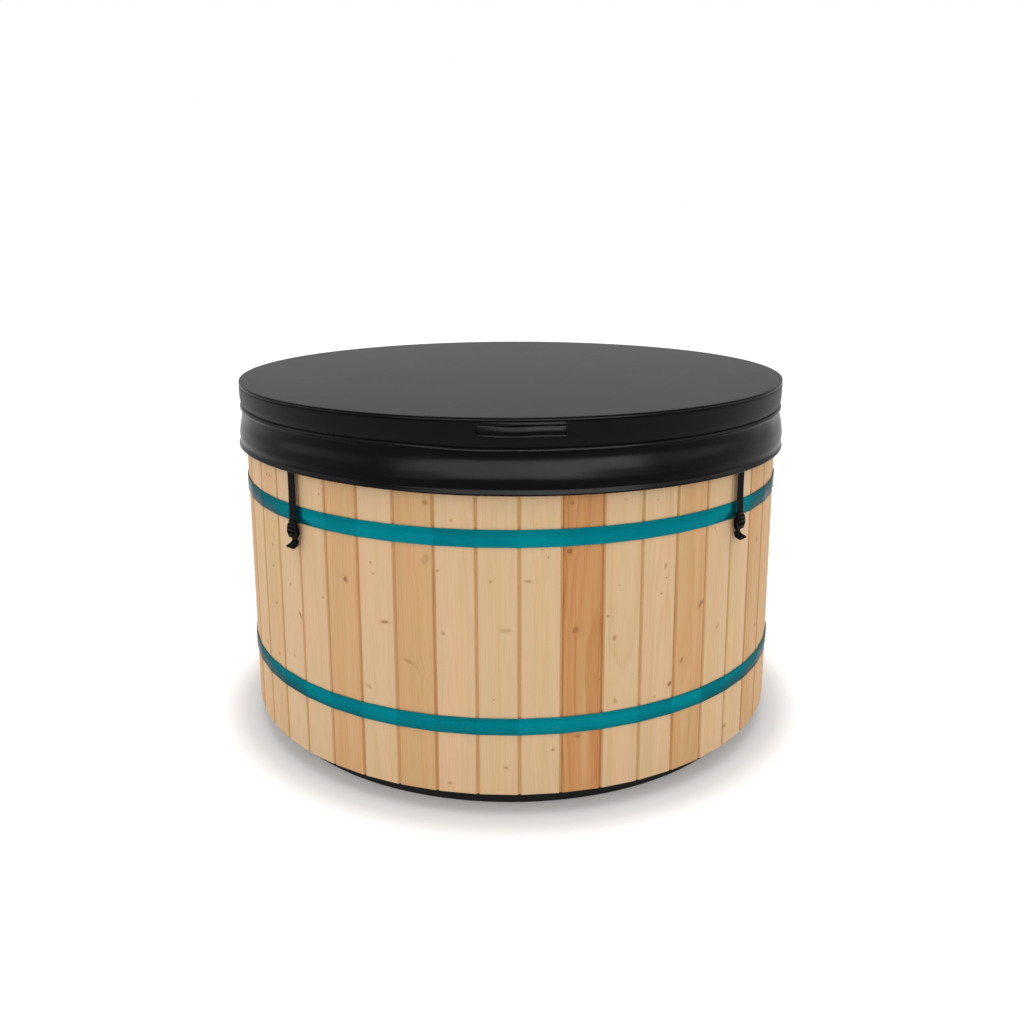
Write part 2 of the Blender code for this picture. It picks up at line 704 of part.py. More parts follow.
def add_lid_slab(pivot):
    """The foam core in its vinyl cover, with a sheet under it."""
    cover_inside = band_profile(COVER_SHEET)
    profile = [(0.0, LID_TOP)] + band_profile(0.0) + cover_inside[::-1] + [(0.0, LID_TOP - COVER_SHEET)]
    cover = turned("lid_cover", profile, LID_STEPS, VINYL)

    core_inset = COVER_SHEET + SEAT_GAP
    core_side = band_profile(core_inset)[:-1]
    core_foot = SEAM_RADIUS - core_inset
    core_profile = [(0.0, CORE_TOP)] + core_side + [(core_foot, CORE_BOTTOM), (0.0, CORE_BOTTOM)]
    core = turned("lid_core", core_profile, LID_STEPS, FOAM)

    sheet_radius = SEAM_RADIUS - core_inset
    sheet_top = LID_BOTTOM + UNDERSIDE_SHEET
    sheet_profile = [
        (0.0, sheet_top),
        (sheet_radius, sheet_top),
        (sheet_radius, LID_BOTTOM),
        (0.0, LID_BOTTOM),
    ]
    sheet = turned("lid_underside", sheet_profile, LID_STEPS, VINYL)
    for part in (cover, core, sheet):
        part.parent = pivot


def add_skirt(pivot):
    """The apron that hangs from the seam over the rim: a ridge, a tuck, a roll and a turned-up hem."""
    seam = SEAM_RADIUS
    flare = seam + SKIRT_FLARE
    tuck = seam - SKIRT_TUCK
    tuck_height = SKIRT_TOP - SKIRT_TUCK_DROP
    roll = seam + SKIRT_ROLL_FLARE
    roll_height = SKIRT_TOP - SKIRT_ROLL_DROP
    belly_height = SKIRT_TOP - SKIRT_BELLY_DROP
    hem_top = HEM_BOTTOM + HEM_HEIGHT
    outer = [
        (seam, SKIRT_TOP),
        (seam + SKIRT_RIDGE, SKIRT_TOP - 2 * SKIRT_RIDGE),
        (tuck, tuck_height),
        (roll, roll_height),
        (flare, belly_height),
        (flare, hem_top),
        (flare - HEM_THICKNESS / 3, HEM_BOTTOM),
    ]
    inner = [
        (HEM_INNER, HEM_BOTTOM),
        (HEM_INNER, hem_top),
        (flare - SKIRT_SHEET, hem_top + HEM_THICKNESS),
        (flare - SKIRT_SHEET, belly_height),
        (roll - SKIRT_SHEET, roll_height),
        (tuck - SKIRT_SHEET, tuck_height),
        (seam - SKIRT_SHEET, SKIRT_TOP),
    ]
    skirt = turned("lid_skirt", outer + inner, LID_STEPS, VINYL, closed=True)
    skirt.parent = pivot


def handle_outline():
    """A strip in plan that follows the lid's band and bows out between its two sewn ends."""
    half = HANDLE_SPAN / 2
    bow_half = half - HANDLE_TAB / BAND_RADIUS
    inner = []
    outer = []
    for step in range(HANDLE_STEPS + 1):
        azimuth = -half + HANDLE_SPAN * step / HANDLE_STEPS
        share = min(abs(azimuth) / bow_half, 1.0)
        bow = HANDLE_BOW * math.cos(math.pi / 2 * share) ** 2
        radius = BAND_RADIUS + SEAT_GAP + bow
        inner.append(plan_point(azimuth, radius))
        outer.append(plan_point(azimuth, radius + HANDLE_SHEET))
    return inner + outer[::-1]


def add_handles(pivot):
    """Grab handles sewn to the lid's band at the front and the back."""
    top = LID_TOP - HANDLE_TOP_DROP
    for place, azimuth in (("front", 0.0), ("rear", math.pi)):
        handle = extruded(f"lid_handle_{place}", handle_outline(), top - HANDLE_WIDTH, top, VINYL)
        handle.rotation_euler.z = azimuth
        handle.parent = pivot


def ribbon_outline(path, thickness):
    """Both sides of a strip of even thickness along a path."""
    left = []
    right = []
    last = len(path) - 1
    for index, point in enumerate(path):
        along = (path[min(index + 1, last)] - path[max(index - 1, 0)]).normalized()
        aside = Vector((-along.y, along.x)) * thickness / 2
        left.append(point + aside)
        right.append(point - aside)
    return left + right[::-1]


def strap_path(drop):
    """A strap's middle line, inward and up from its hinge: plumb to the buckle's foot, then curled out."""
    depth = STRAP_SHEET / 2
    foot = -drop - BUCKLE_HEIGHT
    path = [Vector((depth, STRAP_LAP)), Vector((depth, 0.0))]
    for step in range(TAIL_STEPS + 1):
        turn = TAIL_CURL_ANGLE * step / TAIL_STEPS
        across = depth - TAIL_CURL_RADIUS * (1.0 - math.cos(turn))
        path.append(Vector((across, foot - TAIL_CURL_RADIUS * math.sin(turn))))
    return path


def buckle_outline():
    """A buckle seen from the front: square shoulders above, drawn in to a neck below."""
    half = BUCKLE_WIDTH / 2
    neck = BUCKLE_NECK_WIDTH / 2
    middle = -BUCKLE_HEIGHT + BUCKLE_SHOULDER
    return [
        (-half, 0.0),
        (-half, -BUCKLE_SHOULDER),
        (-half, middle),
        (-neck, -BUCKLE_HEIGHT),
        (neck, -BUCKLE_HEIGHT),
        (half, middle),
        (half, -BUCKLE_SHOULDER),
        (half, 0.0),
    ]


def add_strap(place, azimuth, drop, lid_pivot):
    """A webbing strap hinged at the hem's inner edge, and the buckle threaded on it."""
    pivot = add_pivot(f"strap_pivot_{place}", outward(azimuth) * STRAP_FACE, azimuth)
    pivot.location.z = HEM_BOTTOM - SEAT_GAP
    pivot.parent = lid_pivot
    half_width = STRAP_WIDTH / 2
    outline = ribbon_outline(strap_path(drop), STRAP_SHEET)
    strap = extruded(f"strap_{place}", outline, -half_width, half_width, WEBBING, SIDE)
    strap.parent = pivot

    half_thickness = BUCKLE_THICKNESS / 2
    buckle_name = f"buckle_{place}"
    buckle = extruded(buckle_name, buckle_outline(), -half_thickness, half_thickness, BLACK_PLASTIC, FRONT)
    buckle.location = (0.0, STRAP_SHEET / 2, -drop)
    buckle.parent = pivot
    soften(buckle, BUCKLE_EDGE)
    slot_size = (STRAP_WIDTH + 2 * SEAT_GAP, STRAP_SHEET + 2 * SEAT_GAP, 3 * BUCKLE_HEIGHT)
    slot = add_cutter(box_mesh(f"{buckle_name}_slot", slot_size), Matrix.Identity(4))
    slot.location = buckle.location
    slot.parent = pivot
    combine(buckle, slot)


def add_lid():
    """The lid and everything that lifts with it, turned a little against the staves."""
    pivot = add_pivot("lid_pivot", (0.0, 0.0, 0.0), LID_TURN)
    add_lid_slab(pivot)
    add_skirt(pivot)
    add_handles(pivot)
    azimuths = {
        "front_left": -STRAP_AZIMUTH,
        "front_right": STRAP_AZIMUTH,
        "rear_right": math.pi - STRAP_AZIMUTH,
        "rear_left": math.pi + STRAP_AZIMUTH,
    }
    for place, azimuth in azimuths.items():
        add_strap(place, azimuth, STRAP_DROPS[place], pivot)


def add_tub():
    """The standing part: base, liner, insulation, staves, hoops, bench, ports and drain."""
    add_base()
    liner = add_liner()
    insulation = add_insulation()
    panels = add_staves()
    add_bench()
    add_hoop("upper", HOOP_UPPER_BOTTOM)
    add_hoop("lower", HOOP_LOWER_BOTTOM)
    port_stave = rear_stave()
    drain_stave = port_stave - PORT_TO_DRAIN_STAVE_COUNT
    port_wall = [liner, insulation, panels[port_stave // STAVES_PER_PANEL]]
    drain_wall = [liner, insulation, panels[drain_stave // STAVES_PER_PANEL]]
    port_azimuth = stave_azimuth(port_stave)
    add_heater_port("upper", PORT_UPPER_HEIGHT, LINER_UPPER_INNER, port_azimuth, port_wall)
    add_heater_port("lower", PORT_LOWER_HEIGHT, LINER_LOWER_INNER, port_azimuth, port_wall)
    add_drain(stave_azimuth(drain_stave), drain_wall)


add_tub()
add_lid()
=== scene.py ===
"""Dress of a round wooden hot tub: boards, hoops, padded lid, straps and fittings in a plain white studio."""

import logging
import math
import random
from dataclasses import dataclass
from enum import Enum
from functools import cached_property
from typing import Iterable, Iterator, Sequence

import bmesh
import bpy
from mathutils import Matrix, Vector


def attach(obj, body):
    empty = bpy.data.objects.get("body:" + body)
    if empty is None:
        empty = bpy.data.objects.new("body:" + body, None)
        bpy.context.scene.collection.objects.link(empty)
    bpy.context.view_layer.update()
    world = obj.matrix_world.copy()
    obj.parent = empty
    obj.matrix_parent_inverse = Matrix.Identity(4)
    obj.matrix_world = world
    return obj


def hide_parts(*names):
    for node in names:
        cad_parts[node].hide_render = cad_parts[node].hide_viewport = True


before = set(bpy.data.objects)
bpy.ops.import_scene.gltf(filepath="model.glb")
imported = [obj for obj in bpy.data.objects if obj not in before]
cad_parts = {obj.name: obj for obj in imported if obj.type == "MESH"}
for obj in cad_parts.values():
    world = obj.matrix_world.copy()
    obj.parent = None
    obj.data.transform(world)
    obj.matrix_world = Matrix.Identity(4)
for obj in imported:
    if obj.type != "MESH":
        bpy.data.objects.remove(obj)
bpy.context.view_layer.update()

BMesh = bmesh.types.BMesh
Edge = bmesh.types.BMEdge
Vert = bmesh.types.BMVert
Material = bpy.types.Material
Piece = bpy.types.Object
Socket = bpy.types.NodeSocket
Colour = tuple[float, float, float]
Triple = tuple[float, float, float]
Hole = tuple[float, Matrix, float, float]
Profile = Sequence[tuple[float, float]]

log = logging.getLogger("hot_tub")

AXIS = (0.0, 0.0, 1.0)
ORIGIN = (0.0, 0.0, 0.0)
WHITE = (1.0, 1.0, 1.0, 1.0)
MERGE_DISTANCE = 0.00001
CLEARANCE = 0.0003
LID_TURN = math.radians(1.8)
TUB_RADIUS = 0.850
LINER_RADII = {"upper": 0.7834, "lower": 0.7584}
BOARD_COUNT = 48
STAVE_PITCH = math.radians(7.5)
FIRST_JOINT = math.radians(1.4)
KNOT_COUNT = 6
PORT_AZIMUTH = math.radians(177.65)
PORT_HEIGHTS = {"upper": 0.567, "lower": 0.1603}
PORT_HOLE = 0.0453
DRAIN_AZIMUTH = math.radians(162.65)
DRAIN_HEIGHT = 0.1243
DRAIN_HOLE = 0.0168
HOLE_STEPS = 48
BOARD_MAP = "board"
SLAT_MAP = "slat"
STRAP_MAP = "strap"
GLOSSY_PIECES = ("hanging_skirt", "edge_piping", "grab_strip_front", "grab_strip_rear")


class Body(Enum):
    """The bodies that the part moves on, apart from the straps and buckles."""

    TUB = "tub"
    LID = "lid"
    LEVER = "lever"


class Slot(Enum):
    """The record's material slots."""

    SPRUCE = "spruce"
    BENCH_WOOD = "bench_wood"
    HOOP_COAT = "hoop_coat"
    BLACK_PLASTIC = "black_plastic"
    LINER_PLASTIC = "liner_plastic"
    FOAM = "foam"
    VINYL = "vinyl"
    WEBBING = "webbing"
    STEEL = "steel"
    BRASS = "brass"
    LEVER_COAT = "lever_coat"


class Tone(Enum):
    """How dark a spruce board is, from sapwood to heartwood."""

    PALE = 0.0
    STRAW = 0.33
    HONEY = 0.66
    AMBER = 0.92


def srgb(red: int, green: int, blue: int) -> Colour:
    """The linear colour of three screen values from 0 to 255."""
    return tuple(((value / 255 + 0.055) / 1.055) ** 2.4 for value in (red, green, blue))


def outward(azimuth: float) -> Vector:
    """The level direction away from the tub's axis, 0 at the front and turning to the right."""
    return Vector((math.sin(azimuth), -math.cos(azimuth), 0.0))


def point_at(azimuth: float, radius: float, height: float) -> Vector:
    """The point at an azimuth, a radius and a height."""
    return outward(azimuth) * radius + Vector((0.0, 0.0, height))


def azimuth_of(point: Vector) -> float:
    """The azimuth of a point about the tub's axis."""
    return math.atan2(point.x, -point.y)


def radius_of(point: Vector) -> float:
    """How far a point is from the tub's axis."""
    return math.hypot(point.x, point.y)


def turn_past(azimuth: float, point: Vector) -> float:
    """How far round from an azimuth a point is, to either side."""
    return math.remainder(azimuth_of(point) - azimuth, math.tau)


def radial_frame(azimuth: float, height: float) -> Matrix:
    """The frame whose Z runs outward from the tub's axis at an azimuth and a height."""
    lift = Matrix.Translation((0.0, 0.0, height))
    return lift @ Matrix.Rotation(azimuth, 4, "Z") @ Matrix.Rotation(math.pi / 2, 4, "X")


def port_holes(start: float, end: float) -> list[Hole]:
    """The holes of both heater ports between two radii."""
    frames = [radial_frame(PORT_AZIMUTH, height) for height in PORT_HEIGHTS.values()]
    return [(PORT_HOLE, place, start, end) for place in frames]


def drain_hole(start: float, end: float) -> Hole:
    """The drain's hole between two radii."""
    return (DRAIN_HOLE, radial_frame(DRAIN_AZIMUTH, DRAIN_HEIGHT), start, end)


def smooth_step(low: float, high: float, value: float) -> float:
    """A soft step from 0 at low to 1 at high."""
    share = min(max((value - low) / (high - low), 0.0), 1.0)
    return share * share * (3.0 - 2.0 * share)


def window(first: tuple[float, float], second: tuple[float, float], value: float) -> float:
    """1 between two soft steps and 0 outside them, each step given as where it is 0 and where it is 1."""
    return smooth_step(*first, value) * smooth_step(*second, value)


@dataclass(frozen=True)
class Ripple:
    """Seeded waves round the tub's axis: their largest height and how many there are to a turn."""

    seed: int
    height: float
    fewest: int
    most: int
    waves: int = 6

    @cached_property
    def terms(self) -> list[tuple[int, float, float]]:
        """The count, phase and share of each wave."""
        draw = random.Random(self.seed)
        found = []
        for _ in range(self.waves):
            count = draw.randint(self.fewest, self.most)
            found.append((count, draw.uniform(0.0, math.tau), draw.uniform(0.4, 1.0)))
        return found

    def at(self, azimuth: float) -> float:
        """The height of the waves at an azimuth."""
        total = sum(share * math.cos(count * azimuth + phase) for count, phase, share in self.terms)
        return self.height * total / sum(share for _, _, share in self.terms)


def finish_faces(bm: BMesh) -> BMesh:
    """Merges a mesh's doubled points, turns its faces outwards and returns it."""
    bmesh.ops.remove_doubles(bm, verts=bm.verts[:], dist=MERGE_DISTANCE)
    bmesh.ops.recalc_face_normals(bm, faces=bm.faces[:])
    return bm


def chain(bm: BMesh, points: Iterable[Sequence[float]], closed: bool = False) -> list[Vert]:
    """Adds a chain of edges.

    Args:
        bm: the mesh that takes the chain.
        points: the chain's points in order.
        closed: whether the last point joins the first.

    Returns:
        The chain's vertices.
    """
    verts = [bm.verts.new(point) for point in points]
    for pair in zip(verts, verts[1:]):
        bm.edges.new(pair)
    if closed:
        bm.edges.new((verts[-1], verts[0]))
    return verts


def spin(bm: BMesh, angle: float, steps: int, full: bool = False) -> None:
    """Spins all of a mesh about the tub's axis.

    Args:
        bm: the mesh with the profile to spin.
        angle: how far it turns.
        steps: how many steps the turn has.
        full: whether the turn closes on itself.
    """
    geom = bm.verts[:] + bm.edges[:]
    bmesh.ops.spin(bm, geom=geom, cent=ORIGIN, axis=AXIS, angle=angle, steps=steps, use_merge=full)


def lathe(profile: Profile, steps: int, rounding: float = 0.0, closed: bool = False) -> BMesh:
    """Turns a profile about the Z axis.

    Args:
        profile: radius and height of each point.
        steps: how many steps the turn has.
        rounding: how much of each inner corner is rounded off.
        closed: whether the profile is a ring.

    Returns:
        The turned mesh.
    """
    bm = bmesh.new()
    verts = chain(bm, [(0.0, -radius, height) for radius, height in profile], closed)
    if rounding:
        round_corners(bm, verts if closed else verts[1:-1], rounding)
    spin(bm, math.tau, steps, full=True)
    return finish_faces(bm)


def round_corners(bm: BMesh, corners: Sequence[Vert], radius: float) -> None:
    """Rounds the corners of a wire profile."""
    bmesh.ops.bevel(
        bm, geom=list(corners), offset=radius, segments=3, profile=0.5, affect="VERTICES", material=-1
    )


def bevel(bm: BMesh, edges: Iterable[Edge], width: float, segments: int = 2) -> None:
    """Bevels edges to a width."""
    bmesh.ops.bevel(
        bm,
        geom=list(edges),
        offset=width,
        segments=segments,
        profile=0.5,
        affect="EDGES",
        material=-1,
        clamp_overlap=True,
    )


def sharp_edges(bm: BMesh, least: float) -> list[Edge]:
    """The edges of a mesh whose faces meet at more than an angle in degrees."""
    limit = math.radians(least)
    return [edge for edge in bm.edges if edge.is_manifold and edge.calc_face_angle() > limit]


def climb(edge: Edge) -> float:
    """How far an edge climbs from one end to the other."""
    first, second = edge.verts
    return abs(first.co.z - second.co.z)


def raised_verts(raised: dict) -> list[Vert]:
    """The points among what an extrusion made."""
    return [item for item in raised["geom"] if isinstance(item, Vert)]


def sector(ring: Profile, start: float, end: float, steps: int) -> BMesh:
    """A closed solid that a ring of points sweeps about the tub's axis.

    Args:
        ring: radius and height of each point of the ring.
        start: the azimuth of the first end.
        end: the azimuth of the other end.
        steps: how many steps the sweep has.

    Returns:
        The solid, with both ends closed.
    """
    bm = bmesh.new()
    chain(bm, [point_at(start, radius, height) for radius, height in ring], closed=True)
    spin(bm, end - start, steps)
    bmesh.ops.holes_fill(bm, edges=[edge for edge in bm.edges if edge.is_boundary], sides=0)
    return finish_faces(bm)


def mesh_of(bm: BMesh, name: str) -> bpy.types.Mesh:
    """Makes a stored mesh of a bmesh, which is freed."""
    mesh = bpy.data.meshes.new(name)
    bm.to_mesh(mesh)
    bm.free()
    return mesh


def placed(name: str, data: bpy.types.ID) -> Piece:
    """Makes an object of a mesh, lamp or camera and links it to the scene."""
    item = bpy.data.objects.new(name, data)
    bpy.context.scene.collection.objects.link(item)
    return item


def move(bm: BMesh, place: Matrix) -> None:
    """Moves all of a mesh to its place."""
    bmesh.ops.transform(bm, matrix=place, verts=bm.verts[:])


def merge(target: BMesh, source: BMesh, place: Matrix | None = None) -> None:
    """Adds a mesh to another one, moved to its place, and frees it."""
    if place is not None:
        move(source, place)
    carrier = mesh_of(source, "carrier")
    target.from_mesh(carrier)
    bpy.data.meshes.remove(carrier)


def cuboid(width: float, depth: float, height: float, middle: Sequence[float]) -> BMesh:
    """A sharp block about its middle, to be worked further."""
    bm = bmesh.new()
    bmesh.ops.create_cube(bm, size=1.0)
    bmesh.ops.scale(bm, vec=(width, depth, height), verts=bm.verts[:])
    bmesh.ops.translate(bm, vec=middle, verts=bm.verts[:])
    return bm


def block(width: float, depth: float, height: float, middle: Sequence[float], edge: float) -> BMesh:
    """A block with softened edges, about its middle."""
    bm = cuboid(width, depth, height, middle)
    bevel(bm, bm.edges[:], edge)
    return bm


def hexagon(radius: float, low: float, high: float, bore: float, edge: float) -> BMesh:
    """A hexagonal nut or bolt head on the Z axis, with its corners turned off.

    Args:
        radius: the hexagon's outer radius.
        low: where it starts along Z.
        high: where it ends along Z.
        bore: the radius of its bore, or 0.
        edge: how much its rims are bevelled.

    Returns:
        The mesh.
    """
    bm = bmesh.new()
    bmesh.ops.create_circle(bm, cap_ends=True, radius=radius, segments=6)
    if bore:
        bmesh.ops.subdivide_edges(bm, edges=bm.edges[:], cuts=7, use_grid_fill=False)
        inner = bmesh.ops.inset_individual(bm, faces=bm.faces[:], thickness=(radius * 0.866 - bore) * 0.6)
        hole = [face for face in bm.faces if len(face.verts) > 6 and face not in inner["faces"]]
        for vert in {vert for face in hole for vert in face.verts}:
            vert.co = vert.co.normalized() * bore
        bmesh.ops.delete(bm, geom=hole, context="FACES_ONLY")
    bmesh.ops.translate(bm, vec=(0.0, 0.0, low), verts=bm.verts[:])
    raised = bmesh.ops.extrude_face_region(bm, geom=bm.faces[:], use_keep_orig=True)
    bmesh.ops.translate(bm, vec=(0.0, 0.0, high - low), verts=raised_verts(raised))
    finish_faces(bm)
    bevel(bm, sharp_edges(bm, 50.0), edge)
    return bm


def threaded(
    radius: float, start: float, end: float, pitch: float, depth: float
) -> list[tuple[float, float]]:
    """The outer profile of a threaded length, from its start to its end."""
    count = max(int(abs(end - start) / pitch), 1)
    points = []
    for turn in range(count):
        points.append((radius - depth, start + (end - start) * turn / count))
        points.append((radius, start + (end - start) * (turn + 0.5) / count))
    points.append((radius - depth, end))
    return points


class Workbench:
    """Where finished pieces are put together: it makes objects of meshes and sets them on their bodies."""

    def __init__(self) -> None:
        """Starts with no pieces."""
        self.pieces: list[Piece] = []

    def add(
        self,
        name: str,
        bm: BMesh,
        material: Material,
        slot: Slot,
        nodes: Sequence[str],
        crease: float = 35.0,
        body: str = Body.TUB.value,
    ) -> Piece:
        """Makes a piece of a finished mesh.

        Args:
            name: the piece's name.
            bm: its mesh, which is freed.
            material: its finish.
            slot: the record's slot that its finish comes from; not used.
            nodes: the CAD nodes that it stands for.
            crease: the angle in degrees past which an edge stays sharp.
            body: the body that it moves with.

        Returns:
            The piece.
        """
        mesh = mesh_of(bm, name)
        mesh.shade_smooth()
        mesh.set_sharp_from_angle(angle=math.radians(crease))
        mesh.materials.append(material)
        piece = placed(name, mesh)
        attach(piece, body)
        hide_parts(*nodes)
        self.pieces.append(piece)
        log.info("%s: %d faces on %s", name, len(mesh.polygons), body)
        return piece

    def bore(self, piece: Piece, holes: Sequence[Hole]) -> None:
        """Cuts round holes in a piece.

        Args:
            piece: the piece to cut.
            holes: radius, frame, start and end along the frame's Z of each hole.
        """
        cutters = []
        for radius, place, start, end in holes:
            bm = lathe([(0.0, start), (radius, start), (radius, end), (0.0, end)], HOLE_STEPS)
            move(bm, place)
            cutters.append(placed("cutter", mesh_of(bm, "cutter")))
            modifier = piece.modifiers.new("hole", "BOOLEAN")
            modifier.object = cutters[-1]
            modifier.solver = "EXACT"
        graph = bpy.context.evaluated_depsgraph_get()
        cut = bpy.data.meshes.new_from_object(piece.evaluated_get(graph))
        piece.modifiers.clear()
        piece.data = cut
        for cutter in cutters:
            bpy.data.objects.remove(cutter)

    def soften(self, piece: Piece, thickness: float = 0.0, levels: int = 1, offset: float = -1.0) -> None:
        """Gives a sheet its thickness, inwards or about its middle, and smooths it.

        Args:
            piece: the piece.
            thickness: the sheet's thickness, or 0 for a piece that is closed already.
            levels: how often it is smoothed.
            offset: -1 for a sheet that grows inwards and 0 for one that grows both ways.
        """
        if thickness:
            solid = piece.modifiers.new("sheet", "SOLIDIFY")
            solid.thickness = thickness
            solid.offset = offset
        if levels:
            smooth = piece.modifiers.new("smooth", "SUBSURF")
            smooth.levels = levels
            smooth.render_levels = levels


class Graph:
    """A material's shader tree, with short calls that add nodes and wire them."""

    def __init__(self, name: str) -> None:
        """Starts a material of a name with its shader."""
        self.material = bpy.data.materials.new(name)
        self.material.use_nodes = True
        self.tree = self.material.node_tree
        self.shader = self.tree.nodes["Principled BSDF"]

    def add(self, kind: str, sockets: dict | None = None, **settings: object) -> bpy.types.Node:
        """Adds a node.

        Args:
            kind: the node's type without its prefix.
            sockets: what each input is set to or wired from.
            settings: the node's own settings.

        Returns:
            The node.
        """
        node = self.tree.nodes.new("ShaderNode" + kind)
        for key, value in settings.items():
            setattr(node, key, value)
        for key, value in (sockets or {}).items():
            self.put(node, key, value)
        return node

    def put(self, node: bpy.types.Node, key: str | int, value: object) -> None:
        """Sets a node's input to a value, or wires it from a socket."""
        if isinstance(value, Socket):
            self.tree.links.new(value, node.inputs[key])
        else:
            node.inputs[key].default_value = value

    def finish(self, **sockets: object) -> Material:
        """Sets the shader's inputs, with _ for a space, and returns the material."""
        for key, value in sockets.items():
            self.put(self.shader, key.replace("_", " "), value)
        return self.material

    def maths(self, operation: str, *values: object, clamp: bool = False) -> Socket:
        """A number worked out of up to three numbers."""
        sockets = dict(enumerate(values))
        return self.add("Math", sockets, operation=operation, use_clamp=clamp).outputs[0]

    def swing(self, noise: Socket, reach: float, middle: Socket, clamp: bool = False) -> Socket:
        """A number that noise about 0.5 takes to either side."""
        return self.maths("MULTIPLY_ADD", self.maths("SUBTRACT", noise, 0.5), reach, middle, clamp=clamp)

    def vector(self, operation: str, *values: object) -> Socket:
        """A vector worked out of others, or the length of one."""
        node = self.add("VectorMath", dict(enumerate(values)), operation=operation)
        return node.outputs["Value" if operation == "LENGTH" else "Vector"]

    def split(self, vector: Socket) -> Sequence[Socket]:
        """The three numbers of a vector."""
        return self.add("SeparateXYZ", {0: vector}).outputs

    def join(self, *values: object) -> Socket:
        """A vector of up to three numbers."""
        return self.add("CombineXYZ", dict(enumerate(values))).outputs[0]

    def noise(self, vector: Socket, scale: float, detail: float = 2.0, roughness: float = 0.5) -> Socket:
        """Noise about 0.5."""
        sockets = {"Vector": vector, "Scale": scale, "Detail": detail, "Roughness": roughness}
        return self.add("TexNoise", sockets).outputs[0]

    def streaks(self, vector: Socket, scale: Triple, detail: float = 2.0, roughness: float = 0.5) -> Socket:
        """Noise about 0.5 with its own scale along each axis."""
        return self.noise(self.vector("MULTIPLY", vector, scale), 1.0, detail, roughness)

    def spread(
        self, value: Socket, low: float, high: float, to_low: float = 0.0, to_high: float = 1.0
    ) -> Socket:
        """A number taken from one range to another, and held there."""
        sockets = {0: value, 1: low, 2: high, 3: to_low, 4: to_high}
        return self.add("MapRange", sockets, clamp=True).outputs[0]

    def blend(self, share: object, first: object, second: object, kind: str = "MIX") -> Socket:
        """A colour mixed of two."""
        sockets = {0: share, 6: self.colour(first), 7: self.colour(second)}
        return self.add("Mix", sockets, data_type="RGBA", blend_type=kind).outputs[2]

    def tint(self, share: object, colour: Socket, stain: object) -> Socket:
        """A colour stained by another one."""
        return self.blend(share, colour, stain, "MULTIPLY")

    def mottled(
        self, value: Socket, low: float, high: float, first: Colour, second: Colour, most: float = 1.0
    ) -> Socket:
        """A colour that goes from one to another as a number goes from low to high."""
        return self.blend(self.spread(value, low, high, 0.0, most), first, second)

    def colour(self, value: object) -> object:
        """A colour with its opacity, or the socket that was given."""
        return value if isinstance(value, Socket) else (*value, 1.0)

    def ramp(self, value: Socket, stops: Sequence[tuple[float, Colour]]) -> Socket:
        """A colour read off a ramp."""
        node = self.add("ValToRGB", {0: value})
        places = node.color_ramp.elements
        while len(places) < len(stops):
            places.new(0.5)
        for place, (position, colour) in zip(places, stops):
            place.position = position
            place.color = (*colour, 1.0)
        return node.outputs[0]

    def attribute(self, name: str, output: str = "Vector") -> Socket:
        """What a face of the mesh is labelled with."""
        return self.add("Attribute", attribute_name=name).outputs[output]

    def place(self) -> Socket:
        """The Object coordinates."""
        return self.add("TexCoord").outputs["Object"]

    def uv(self, name: str) -> Socket:
        """The coordinates of a UV map."""
        return self.add("UVMap", uv_map=name).outputs[0]

    def bump(self, height: Socket, distance: float, strength: float) -> Socket:
        """Normals raised by a height."""
        sockets = {"Height": height, "Distance": distance, "Strength": strength}
        return self.add("Bump", sockets).outputs[0]


